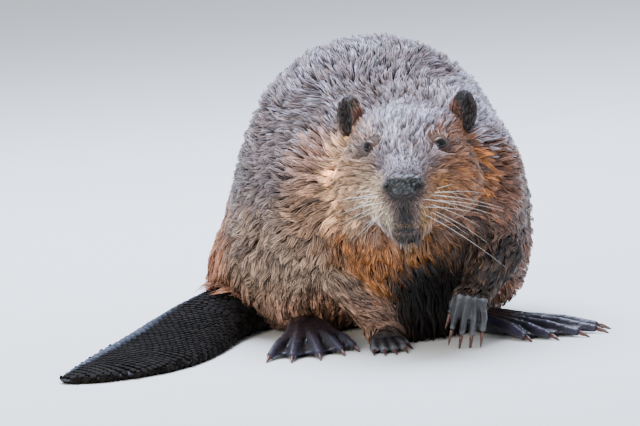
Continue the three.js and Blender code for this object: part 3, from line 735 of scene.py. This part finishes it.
def growTufts(chosen, corners, rings, pull, hang):
    # walks each tuft along the skin, draws it towards the leader of its lock, and gives back
    # the middle line and the skin's normals at every ring. A tuft that hangs leaves the skin.
    roots = between(skinPoints, chosen, corners)
    count = len(roots)
    own = {name: between(field, chosen, corners) for name, field in hair.items()}
    leaders = np.flatnonzero(dice.random(count) < 1 / own["lock"])
    nearest = KDTree(len(leaders))
    for leader in leaders.tolist():
        nearest.insert(roots[leader], leader)
    nearest.balance()
    lead = np.array([nearest.find(p)[1] for p in roots.tolist()])
    length = own["length"] * dice.uniform(0.75, 1.3, count)[lead] * dice.uniform(0.8, 1.15, count)
    rise = own["rise"] * dice.uniform(0.4, 1.0, count)[lead] * dice.uniform(0.78, 1.0, count)
    swing = dice.normal(0, 0.13, count)[lead] + dice.normal(0, 0.05, count)
    line = [roots]
    normals = [unit(between(softNormals, chosen, corners))]
    spots, faces = roots, chosen
    for step in range(rings):
        way = unit(lie[skinTriangles[faces]].mean(axis=1))
        across = np.cross(normals[-1], way)
        way = way * np.cos(swing)[:, None] + across * np.sin(swing)[:, None]
        if hang:
            way = unit(way * (1 - step / rings) * 0.6 + np.array([0, -0.1, -1.0]))
            spots = spots + way * (length / rings)[:, None]
            line.append(spots)
            normals.append(normals[-1])
            continue
        spots, faces = onSkin(spots + way * (length / rings)[:, None])
        line.append(spots)
        normals.append(unit(softNormals[skinTriangles[faces]].mean(axis=1)))
    line, normals = np.stack(line, 1), np.stack(normals, 1)
    t = np.linspace(0, 1, rings + 1)
    side = unit(np.cross(normals, np.gradient(line, axis=1)))
    phase = ripple(roots, 22, 8) * 7 + dice.normal(0, 0.6, count)[lead] + dice.normal(0, 0.15, count)
    bend = np.sin(t[None] * length[:, None] / 32 * 2 * math.pi + phase[:, None]) - np.sin(phase)[:, None]
    line = line + side * (bend * own["wave"][:, None] * (length / 20)[:, None])[..., None]
    drawn = pull * dice.uniform(0.62, 1.15, count)
    draw = (drawn[:, None] * t[None] ** 1.2)[..., None]
    line = line + (line[lead] - line) * np.clip(draw, 0, 0.95)
    lift = np.interp(t, [0, 0.25, 0.6, 1], [-0.12, 0.5, 0.95, 0.9])
    line = line + normals * (rise[:, None] * lift[None])[..., None]
    line[:, 0] -= normals[:, 0] * 0.6
    return line, normals, lead


def tuftMesh(line, normals, widths, rings):
    # each tuft is a closed three-sided blade that tapers to a point
    count = len(line)
    along = unit(np.gradient(line, axis=1))
    side = unit(np.cross(normals, along))
    top = unit(np.cross(along, side))
    taper = np.interp(np.linspace(0, 1, rings + 1), [0, 0.3, 0.7, 1], [0.8, 1.0, 0.75, 0.1])[:rings]
    half = (widths[:, None] * taper[None] / 2)[..., None]
    left = line[:, :rings] - side[:, :rings] * half
    right = line[:, :rings] + side[:, :rings] * half
    crest = line[:, :rings] + top[:, :rings] * half * 1.1
    body = np.stack([left, right, crest], axis=2).reshape(count, rings * 3, 3)
    points = np.concatenate([body, line[:, rings:]], axis=1)
    perTuft = rings * 3 + 1
    quads = []
    for ring in range(rings - 1):
        for a, b in ((0, 1), (1, 2), (2, 0)):
            quads.append([ring * 3 + b, ring * 3 + a, ring * 3 + 3 + a, ring * 3 + 3 + b])
    last = (rings - 1) * 3
    caps = [[last + b, last + a, rings * 3] for a, b in ((0, 1), (1, 2), (2, 0))] + [[0, 1, 2]]
    base = np.arange(count)[:, None, None] * perTuft
    quads = (np.array(quads)[None] + base).reshape(-1, 4)
    caps = (np.array(caps)[None] + base).reshape(-1, 3)
    return points.reshape(-1, 3), quads, caps, perTuft


# The skin piece.

def lidRing(side):
    # a rounded almond rim round the eye, lying on the eyeball, its outer edge under the skin
    eye = np.array([side * headStance["eyeSpacing"] / 2, headStance["eyeBack"], 0])
    gaze = unit(np.array(eyelids["gaze"][side]))
    across = unit(np.cross(gaze, [0, 0, 1]))
    up = np.cross(across, gaze)
    turns = np.linspace(0, 2 * math.pi, eyelids["sides"], endpoint=False)
    rows = []
    for angle, height in eyelids["section"]:
        wide = np.radians(eyelids["halfWidth"] + angle)
        tall = np.radians(eyelids["halfHeight"] + angle)
        opening = 1 / np.sqrt((np.cos(turns) / wide) ** 2 + (np.sin(turns) / tall) ** 2)
        ways = (np.cos(opening)[:, None] * gaze
                + np.sin(opening)[:, None] * (np.cos(turns)[:, None] * across + np.sin(turns)[:, None] * up))
        rows.append(eye + ways * (headStance["eyeRadius"] + height))
    rows = np.stack(rows, 1)
    sides, ring = rows.shape[:2]
    number = np.arange(sides * ring).reshape(sides, ring)
    ahead = np.roll(number, -1, axis=0)
    quads = np.stack([number, ahead, np.roll(ahead, -1, axis=1), np.roll(number, -1, axis=1)], -1)
    triangles = quads.reshape(-1, 4)[:, [0, 1, 2, 0, 2, 3]].reshape(-1, 3)
    if side < 0:
        triangles = triangles[:, ::-1]
    return fromHead(rows.reshape(-1, 3)), triangles, gaze


# Angles are degrees round the eyeball outside the opening, heights are above the eyeball.
eyelids = {
    "sides": 40,
    "gaze": {1: (0.46, -0.87, 0.17), -1: (-0.68, -0.70, 0.12)},  # seen from the head
    "halfWidth": 51,
    "halfHeight": 47,
    "section": [(0, 0.15), (4, 0.8), (12, 1.3), (26, 1.6), (42, 1.2), (56, -0.4), (40, -1.4), (10, -0.6)],
    "colours": ["#120c0a", "#1c1411", "#33261f", "#5f4838", "#8a6446", "#8a6446", "#2a1d16", "#120c0a"],
}
lids = {side: lidRing(side) for side in (-1, 1)}
allPoints = [skinPoints]
allTriangles = [skinTriangles]
offset = len(skinPoints)
for lidPoints, lidTriangles, gaze in lids.values():
    allPoints.append(lidPoints)
    allTriangles.append(lidTriangles + offset)
    offset += len(lidPoints)
lidCount = offset - len(skinPoints)
skinMesh = newMesh("skin", np.concatenate(allPoints), [np.concatenate(allTriangles)])
lidTint = np.tile([linear(c) for c in eyelids["colours"]], (lidCount // len(eyelids["colours"]), 1))
paint(skinMesh, np.concatenate([skinTint, lidTint]))
glossy = np.concatenate([bare - shares["tail"], np.ones(lidCount)])
paint(skinMesh, np.repeat(np.clip(glossy, 0, 1)[:, None], 3, 1), "bare")
skin = newPiece("skin", skinMesh, dampHide)
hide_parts(*fleshNodes)
for other in bpy.context.selected_objects:
    other.select_set(False)
bpy.context.view_layer.objects.active = skin
skin.select_set(True)
bpy.ops.object.mode_set(mode="EDIT")
bpy.ops.mesh.select_all(action="SELECT")
bpy.ops.uv.smart_project(angle_limit=math.radians(75), island_margin=0.002)
bpy.ops.object.mode_set(mode="OBJECT")
skinMesh = skin.data
skinMesh.uv_layers[0].name = "OFBake"
skinUv = np.zeros(len(skinMesh.loops) * 2, np.float32)
skinMesh.uv_layers[0].uv.foreach_get("vector", skinUv)
skinUv = skinUv.reshape(-1, 3, 2)[:len(skinTriangles)].astype(float)
print("skin piece made,", len(skinMesh.polygons), "triangles")


# The coat pieces.

coatColour = {
    # rootShade is painted shade at the roots of the tufts, tipShade painted light at their tips
    "rootShade": 0.16, "tipShade": 1.9,
    "lockSpread": 0.32, "hairSpread": 0.2,
    "skyGlintAndPaleTip": "#d3cfdf", "skyGlintAndPaleTipShare": 0.33,  # painted sky reflection on wet hair tips, also pale hair tips in a few places
    "gold": "#b98a58", "goldShare": 0.12,  # paler guard hairs
    "patch": 0.003,  # side of each tuft's place on the unwrap
}


cheekStreaks = np.maximum(cheekHair, 0.7 * shares["forearm"]) * (1 - 0.7 * towardsNose)

# Damp hair clings in strands that run with the lie of the coat, some dark and some light.
strandStretch = {"cheeks": (0.2, 0.2, 1.0), "crown": (1.0, 0.18, 0.18)}
strands = 0.85 * cheekStreaks * ripple(headLocal * strandStretch["cheeks"], 3.6, 51, 9)
onCrown = shares["head"] * (1 - cheekStreaks) * smoothStep(headLocal[:, 2], -24, 4)
strands += 0.5 * onCrown * ripple(headLocal * strandStretch["crown"], 3.4, 52, 9)


def tuftColours(roots, lead, t):
    base = between(furTint * np.exp(strands)[:, None], *roots)
    count = len(base)
    streaky = 1 + 0.9 * between(cheekStreaks, *roots)
    lock = coatColour["lockSpread"] * streaky * dice.normal(0, 1, count)[lead]
    own = coatColour["hairSpread"] * dice.normal(0, 1, count)
    base = base * np.clip(0.95 * np.exp(lock + own), 0.25, 2.1)[:, None]
    skyGlintAndPaleTipPlace = between(skyGlintAndPaleTipField, *roots)
    skyGlintAndPaleTipAmount = (dice.random(count)[lead] * 0.75 + dice.random(count) * 0.25 < skyGlintAndPaleTipPlace) * dice.uniform(0.4, 1.0, count)
    golden = (dice.random(count) < coatColour["goldShare"] * smoothStep(base[:, 0], 0.01, 0.06)) * dice.uniform(
        0.1, 0.5, count)
    # painted shade darkens each tuft towards its root, where the hairs shade each other, and painted light brightens it
    # towards the tip
    shadeAlong = coatColour["rootShade"] + (coatColour["tipShade"] - coatColour["rootShade"]) * t
    colours = base[:, None] * shadeAlong[None, :, None]
    for amount, name in ((golden, "gold"), (skyGlintAndPaleTipAmount, "skyGlintAndPaleTip")):
        strength = (amount[:, None] * smoothStep(t, 0.1, 0.8)[None])[..., None]
        colours = colours + strength * (linear(coatColour[name]) - colours)
    return colours


armFur = shares["forearm"] * smoothStep(np.maximum(alongArm["left"], alongArm["right"]), 0.05, 0.6)
armFur = np.maximum(armFur, shares["forepaw"])
furTint = paintedAt(skinPoints, {**shares, "forepaw": shares["forepaw"] * 0, "forearm": armFur, "tail": shares["tail"] * 0,
                                 "hindFoot": shares["hindFoot"] * 0})
# Painted sky reflection on the tips of hair that faces up, high on the body and on the crown and brow; pale hair tips
# under the chin and on one whisker pad.
skyGlintAndPaleTipField = coatColour["skyGlintAndPaleTipShare"] * smoothStep(softNormals[:, 2], 0.0, 0.9) * smoothStep(
    skinPoints[:, 2], 120, 240) * (1 - 0.75 * shares["head"])
skyGlintAndPaleTipField += 0.36 * patchWeight(skinPoints, "head", (0, 50, 22), (50, 42, 26)) * shares["head"]
skyGlintAndPaleTipField -= 0.2 * patchWeight(skinPoints, "body", (92, -60, 255), (60, 60, 30))
skyGlintAndPaleTipField += 0.85 * patchWeight(skinPoints, "body", (172, -10, 218), (60, 120, 42))
skyGlintAndPaleTipField += 0.3 * patchWeight(skinPoints, "head", (0, 6, 8), (36, 40, 26)) * shares["head"]
skyGlintAndPaleTipField += 0.12 * patchWeight(skinPoints, "head", (2, -46, -80), (16, 22, 11)) * shares["head"]
skyGlintAndPaleTipField += 0.3 * patchWeight(skinPoints, "head", (-24, -40, -56), (14, 26, 22)) * shares["head"]
skyGlintAndPaleTipField = np.clip(skyGlintAndPaleTipField, 0, 0.75) * (1 - shares["ear"])


def makeCoat(name, pick, wanted, rings, pull, limit, hang=False, material=wetHair):
    chosen, corners = sowTufts(pick, wanted)
    line, normals, lead = growTufts(chosen, corners, rings, pull, hang)
    line[:, 1:, 2] = np.maximum(line[:, 1:, 2], 0.6)
    widths = between(hair["width"], chosen, corners) * dice.uniform(0.75, 1.3, wanted)
    t = np.linspace(0, 1, rings + 1)
    colours = tuftColours((chosen, corners), lead, t)
    rootUv = (skinUv[chosen] * corners[:, :, None]).sum(axis=1)
    order = np.argsort(np.arctan2(line[:, 0, 0] - 60, line[:, 0, 1] + 20), kind="stable")
    pieces = math.ceil(wanted / limit)
    for number, group in enumerate(np.array_split(order, pieces)):
        points, quads, caps, perTuft = tuftMesh(line[group], normals[group], widths[group], rings)
        mesh = newMesh(f"{name}_{number + 1}", points, [quads, caps])
        ringColours = np.repeat(colours[group][:, :rings], 3, axis=1)
        vertexColours = np.concatenate([ringColours, colours[group][:, rings:]], axis=1)
        paint(mesh, vertexColours.reshape(-1, 3))
        half = coatColour["patch"] / 2
        acrossPatch = np.tile([-half, half, 0], rings)
        alongPatch = np.repeat(t[:rings] * 2 - 1, 3) * half
        patch = np.column_stack([np.append(acrossPatch, 0), np.append(alongPatch, half)])
        places = (rootUv[group][:, None] + patch[None]).reshape(-1, 2)
        unwrap(mesh, np.clip(places, 0, 1))
        newPiece(f"{name}_{number + 1}", mesh, material)
    print("coat:", name, "in", pieces, "pieces")


headPick = (shares["head"] > 0.5).astype(float)
makeCoat("coat_body", 1 - headPick, budget["bodyTufts"], 3, 0.86, 12000)
makeCoat("coat_head", headPick, budget["headTufts"], 3, 0.92, 12000)

# Long wet hair hangs from the belly to the floor between the forelegs.
fringePick = smoothStep(patchWeight(skinPoints, "body", (92, -84, 42), (58, 56, 34)), 0.3, 0.6)
fringePick *= (1 - shares["head"]) * smoothStep(-softNormals[:, 2], -0.35, 0.1) * (shares["forepaw"] < 0.1)
fringePick *= (shares["hindFoot"] < 0.1) * (shares["forearm"] < 0.1)
plain = {name: field.copy() for name, field in hair.items()}
hair.update(length=skinPoints[:, 2] * 0.5 + 26, width=plain["width"] * 0 + 1.5, rise=plain["rise"] * 0.3,
            count=plain["count"] * 0 + 0.2, wave=plain["wave"] * 0 + 0.7, lock=plain["lock"] * 0 + 9)
makeCoat("coat_fringe", fringePick, budget["fringeTufts"], 6, 0.9, 8000, hang=True, material=soakedHair)
hair.update(plain)

# Long hair hangs from the jowls and the chin and breaks up their edge.
beardPick = np.clip(jowlHair * smoothStep(-headLocal[:, 2], 44, 60) + 0.6 * chinHair, 0, 1)
beardPick *= smoothStep(-softNormals[:, 2], -0.3, 0.2) * (shares["nose"] < 0.1)
hair.update(length=plain["width"] * 0 + 11, width=plain["width"] * 0 + 0.7, rise=plain["rise"] * 0.2,
            count=plain["count"] * 0 + 0.4, wave=plain["wave"] * 0 + 0.5, lock=plain["lock"] * 0 + 5)
makeCoat("coat_beard", beardPick, budget["beardTufts"], 4, 0.8, 8000, hang=True)
hair.update(plain)


# Whiskers.

whiskerLook = {"perSide": 13, "longest": 98, "shortest": 38, "radius": 0.29, "rings": 8, "colour": "#efe6da"}
whiskerPoints, whiskerTriangles, offset = [], [], 0
for side in (-1, 1):
    for number in range(whiskerLook["perSide"]):
        row, column = divmod(number, 5)
        start = np.array([side * (15 + 3.0 * column), -62 + 4.5 * column, -34 - 6.5 * row]) + dice.normal(0, 1, 3)
        root = onSkin(fromHead(start)[None])[0][0]
        away = np.array([side, 0.2 + 0.12 * column, -0.05 - 0.3 * row]) + dice.normal(0, 0.12, 3)
        heading = fromHeadWay(unit(away))
        reach = dice.uniform(whiskerLook["shortest"], whiskerLook["longest"]) * (1 - 0.08 * column)
        reach *= 1 if side > 0 else 0.7
        t = np.linspace(0, 1, whiskerLook["rings"] + 1)[:, None]
        middle = root + heading * (t * reach - 1.5) + np.array([0, 0.1, -0.16]) * reach * t ** 2
        sideways = unit(np.cross(heading, [0.1, 0.2, 1]))
        over = np.cross(sideways, heading)
        thick = whiskerLook["radius"] * (1 - 0.8 * t)
        ring = [middle + thick * (math.cos(a) * sideways + math.sin(a) * over) for a in (0, 2.094, 4.189)]
        whiskerPoints.append(np.stack(ring, 1).reshape(-1, 3))
        for step in range(whiskerLook["rings"]):
            for a, b in ((0, 1), (1, 2), (2, 0)):
                low, high = offset + step * 3, offset + step * 3 + 3
                whiskerTriangles += [[low + a, low + b, high + b], [low + a, high + b, high + a]]
        whiskerTriangles += [[offset + 2, offset + 1, offset], [high, high + 1, high + 2]]
        offset += len(whiskerPoints[-1])
whiskerMesh = newMesh("whiskers", np.concatenate(whiskerPoints), [np.array(whiskerTriangles)])
paint(whiskerMesh, np.tile(linear(whiskerLook["colour"]), (offset, 1)))
newPiece("whiskers", whiskerMesh, wetHair)
print("whiskers made")


# Tail scales.

# Six-sided horny plates in staggered rows round the paddle, each one domed and standing a
# little proud at its hind edge.
tailScales = {
    "line": [(-84, 84, 30), (-131, 31, 18), (-161, -66, 13), (-191, -142, 9), (-229, -194, 6), (-268, -221, 3.5)],
    "length": 7.6,
    "width": 7.0,
    "gap": -0.9,  # they overlap
    "height": 0.42,
    "skinBelow": 0.9,  # the skin lies this far under the bases of the plates
    "colour": "#15120f",
    # painted sky light along the raised outer edge of the paddle
    "rim": "#626978",
}


def tailSections():
    # points round the paddle, row by row, with the surface's normal and the way to the tip
    bends = np.array(tailScales["line"], float)
    far = np.concatenate([[0], np.cumsum(np.linalg.norm(np.diff(bends, axis=0), axis=1))])
    fine = np.linspace(0, far[-1], 200)
    middle = np.stack([np.interp(fine, far, bends[:, i]) for i in range(3)], 1)
    for _ in range(30):
        middle[1:-1] = (middle[:-2] + middle[2:] + 2 * middle[1:-1]) / 4
    stations = np.arange(far[-1] * 0.1, far[-1] - 1, tailScales["length"] * 0.86)
    heading = unit(np.gradient(middle, axis=0))
    for row, place in enumerate(stations):
        centre = np.array([np.interp(place, fine, middle[:, i]) for i in range(3)])
        ahead = unit(np.array([np.interp(place, fine, heading[:, i]) for i in range(3)]))
        across = unit(np.cross(ahead, [0, 0, 1]))
        up = np.cross(across, ahead)
        outline = []
        for turn in np.linspace(0, 2 * math.pi, 180, endpoint=False):
            way = math.cos(turn) * across * 4 + math.sin(turn) * up
            way /= np.linalg.norm(way)
            spot, normal, face, _ = skinTree.ray_cast(Vector(centre + way * 76), Vector(-way))
            if spot is not None and shares["tail"][skinTriangles[face]].mean() > 0.4:
                outline.append((*spot, *softNormals[skinTriangles[face]].mean(axis=0)))
        if len(outline) < 30:
            continue
        outline = np.array(outline)
        steps = np.linalg.norm(np.diff(outline[:, :3], axis=0, append=outline[:1, :3]), axis=1)
        steps[steps > 12] = 0
        round_ = np.concatenate([[0], np.cumsum(steps)])
        amount = max(4, int(round(round_[-1] / tailScales["width"])))
        marks = (np.arange(amount) + 0.5 * (row % 2)) / amount * round_[-1]
        closed = np.concatenate([outline, outline[:1]])
        spots = np.stack([np.interp(marks, round_, closed[:, i]) for i in range(6)], 1)
        outward = (spots[:, :3] - centre) @ across
        yield spots[:, :3], unit(spots[:, 3:]), ahead, smoothStep(outward / outward.max(), 0.62, 0.86)


platePoints, plateTriangles, plateTints, offset = [], [], [], 0
for spots, normals, ahead, outerEdge in tailSections():
    ahead = laidAlong(np.tile(ahead, (len(spots), 1)), normals)
    across = np.cross(normals, ahead)
    size = dice.uniform(0.9, 1.06, len(spots))[:, None]
    half = np.array([tailScales["length"] - tailScales["gap"], tailScales["width"] - tailScales["gap"]]) / 2
    # painted light: plates on the raised outer edge that face sideways to up take the pale sky-lit colour
    rim = outerEdge * smoothStep(normals[:, 2], -0.3, 0.3)
    height = tailScales["height"] + 0.7 * smoothStep(np.abs(normals[:, 2:]), 0.4, 0.8)
    tone = linear(tailScales["colour"]) * dice.uniform(0.45, 1.8, len(spots))[:, None]
    tone = tone + rim[:, None] * (linear(tailScales["rim"]) - tone)
    for reach, lift in ((1.0, -0.5), (0.78, 1.0)):
        for turn in range(6):
            angle = math.radians(60 * turn + 30)
            along = math.sin(angle) * half[0] * 1.15 * reach
            beside = math.cos(angle) * half[1] * 1.15 * reach
            proud = lift * height * (1 + 0.35 * math.sin(angle)) + (tailScales["skinBelow"] if lift > 0 else 0)
            platePoints.append(spots + ahead * along * size + across * beside * size + normals * proud)
            # painted shade: the base ring of each plate, down in the gaps between plates, is darker
            plateTints.append(tone * (0.55 if lift < 0 else 1.0))
    # painted highlight: the top of each dome is a little lighter
    platePoints.append(spots + normals * (height * 1.25 + tailScales["skinBelow"]))
    plateTints.append(tone * 1.1)
    count = len(spots)
    number = np.arange(count)
    for a in range(6):
        b = (a + 1) % 6
        low, lowNext, high, highNext = (offset + count * k + number for k in (a, b, 6 + a, 6 + b))
        top = offset + count * 12 + number
        plateTriangles += [np.stack(t, 1) for t in ((low, lowNext, highNext), (low, highNext, high),
                                                    (high, highNext, top))]
    for a in range(1, 5):
        plateTriangles.append(np.stack([offset + number, offset + count * (a + 1) + number,
                                        offset + count * a + number], 1))
    offset += count * 13
plateSpots = np.concatenate(platePoints)
plateSpots[:, 2] = np.maximum(plateSpots[:, 2], 0.2)
plates = newMesh("tail_scales", plateSpots, [np.concatenate(plateTriangles)])
paint(plates, np.concatenate(plateTints))
paint(plates, np.zeros((offset, 3)), "bare")
plates.shade_flat()
newPiece("tail_scales", plates, scaleHorn)
print("tail scales made,", len(plates.polygons), "triangles")


# Eyes.

eyeLook = {"irisAngle": 44, "pupilAngle": 30, "iris": "#1b0f09", "pupil": "#010101", "white": "#0d0908"}
for side, label in ((-1, "right"), (1, "left")):
    gaze = fromHeadWay(lids[side][2])
    middle = fromHead([side * headStance["eyeSpacing"] / 2, headStance["eyeBack"], 0])
    body = bmesh.new()
    bmesh.ops.create_uvsphere(body, u_segments=40, v_segments=24, radius=headStance["eyeRadius"] * mm)
    turnTo = Vector((0, 0, 1)).rotation_difference(Vector(gaze)).to_matrix().to_4x4()
    bmesh.ops.transform(body, matrix=Matrix.Translation(Vector(middle * mm)) @ turnTo, verts=body.verts)
    mesh = bpy.data.meshes.new("eye_ball_" + label)
    body.to_mesh(mesh)
    body.free()
    mesh.shade_smooth()
    facing = unit(pointsOf(mesh) - middle) @ gaze
    angle = np.degrees(np.arccos(np.clip(facing, -1, 1)))
    colours = np.tile(linear(eyeLook["white"]), (len(angle), 1))
    colours[angle < eyeLook["irisAngle"]] = linear(eyeLook["iris"])
    colours[angle < eyeLook["pupilAngle"]] = linear(eyeLook["pupil"])
    paint(mesh, colours)
    ball = newPiece("eye_ball_" + label, mesh, wetEye)
    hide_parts("eye_" + label)
print("eyes made")


# Claws.

for paw in ("foreclaw_left", "foreclaw_right", "hind_claw_left", "hind_claw_right"):
    names = [f"{paw}_{n}" for n in range(1, 6)]
    points, triangles, offset = [], [], 0
    for name in names:
        nodePoints, nodeTriangles = weldedNode(name, 0.25)
        points.append(nodePoints)
        triangles.append(nodeTriangles + offset)
        offset += len(nodePoints)
    points = np.concatenate(points)
    points[:, 2] = np.maximum(points[:, 2], 0.05)  # the points of the claws stand on the floor
    rough = newMesh(paw, points, [np.concatenate(triangles)])
    fine = evaluated(rough, ("SUBSURF", {"levels": 2, "render_levels": 2}))
    fine.shade_smooth()
    piece = newPiece(paw + "_set", fine, clawHorn)
    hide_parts(*names)
print("claws made")


# Floor, light and camera.

studio = {
    "floor": "#e9e9e3",
    "world": "#e2ecfb",
    "worldStrength": 0.95,
    "skyLight": {"at": (-0.2, 1.0, 2.6), "size": 2.6, "power": 300, "colour": "#d6e2ff"},
    "frontLight": {"at": (-1.6, -4.0, 1.5), "size": 1.4, "power": 120, "colour": "#fff4e6"},
}
floorMaterial, tree, shader = newMaterial("matPaperFloor")
fibres = addNode(tree, "ShaderNodeTexNoise", {"Scale": 40.0})
tone = addNode(tree, "ShaderNodeMapRange", {"To Min": 0.97, "To Max": 1.03}, {"Value": fibres.outputs["Fac"]})
mixed = addNode(tree, "ShaderNodeVectorMath", {"operation": "SCALE", 0: tuple(linear(studio["floor"]))},
                {"Scale": tone.outputs["Result"]})
tree.links.new(mixed.outputs["Vector"], shader.inputs["Base Color"])
shader.inputs["Roughness"].default_value = 0.9
turns = np.linspace(0, 2 * math.pi, 64, endpoint=False)
floorPoints = np.stack([40000 * np.cos(turns), 40000 * np.sin(turns), 0 * turns], 1)
floorMesh = newMesh("floorDisc", floorPoints, [np.arange(64)[None]])
floorMesh.materials.append(floorMaterial)
floorDisc = bpy.data.objects.new("floorDisc", floorMesh)
scene.collection.objects.link(floorDisc)

world = bpy.data.worlds.new("softDay")
scene.world = world
world.use_nodes = True
background = world.node_tree.nodes["Background"]
background.inputs["Color"].default_value = (*linear(studio["world"]), 1)
background.inputs["Strength"].default_value = studio["worldStrength"]


def addLight(name, at, size, power, colour):
    lamp = bpy.data.lights.new(name, "AREA")
    lamp.shape = "DISK"
    lamp.size = size
    lamp.energy = power
    lamp.color = linear(colour)
    holder = bpy.data.objects.new(name, lamp)
    holder.location = at
    holder.rotation_euler = (Vector((0.05, -0.05, 0.15)) - Vector(at)).to_track_quat("-Z", "Y").to_euler()
    scene.collection.objects.link(holder)


addLight("skyLight", **studio["skyLight"])
addLight("frontLight", **studio["frontLight"])

cameraLook = {
    "at": (-7.3, -6097.7, 835.0),
    "aim": (-7.3, -136.1, 142.6),
    "lens": 337.5,
    "roll": -4.0,  # degrees
}
cameraData = bpy.data.cameras.new("camera")
cameraData.lens = cameraLook["lens"]
cameraData.sensor_width = 36
cameraData.clip_end = 120
camera = bpy.data.objects.new("camera", cameraData)
scene.collection.objects.link(camera)
towards = Vector(cameraLook["aim"]) - Vector(cameraLook["at"])
camera.rotation_mode = "QUATERNION"
camera.rotation_quaternion = towards.to_track_quat("-Z", "Y") @ Euler(
    (0, 0, math.radians(cameraLook["roll"]))).to_quaternion()
camera.location = Vector(cameraLook["at"]) * mm
scene.camera = camera
print("stage set")
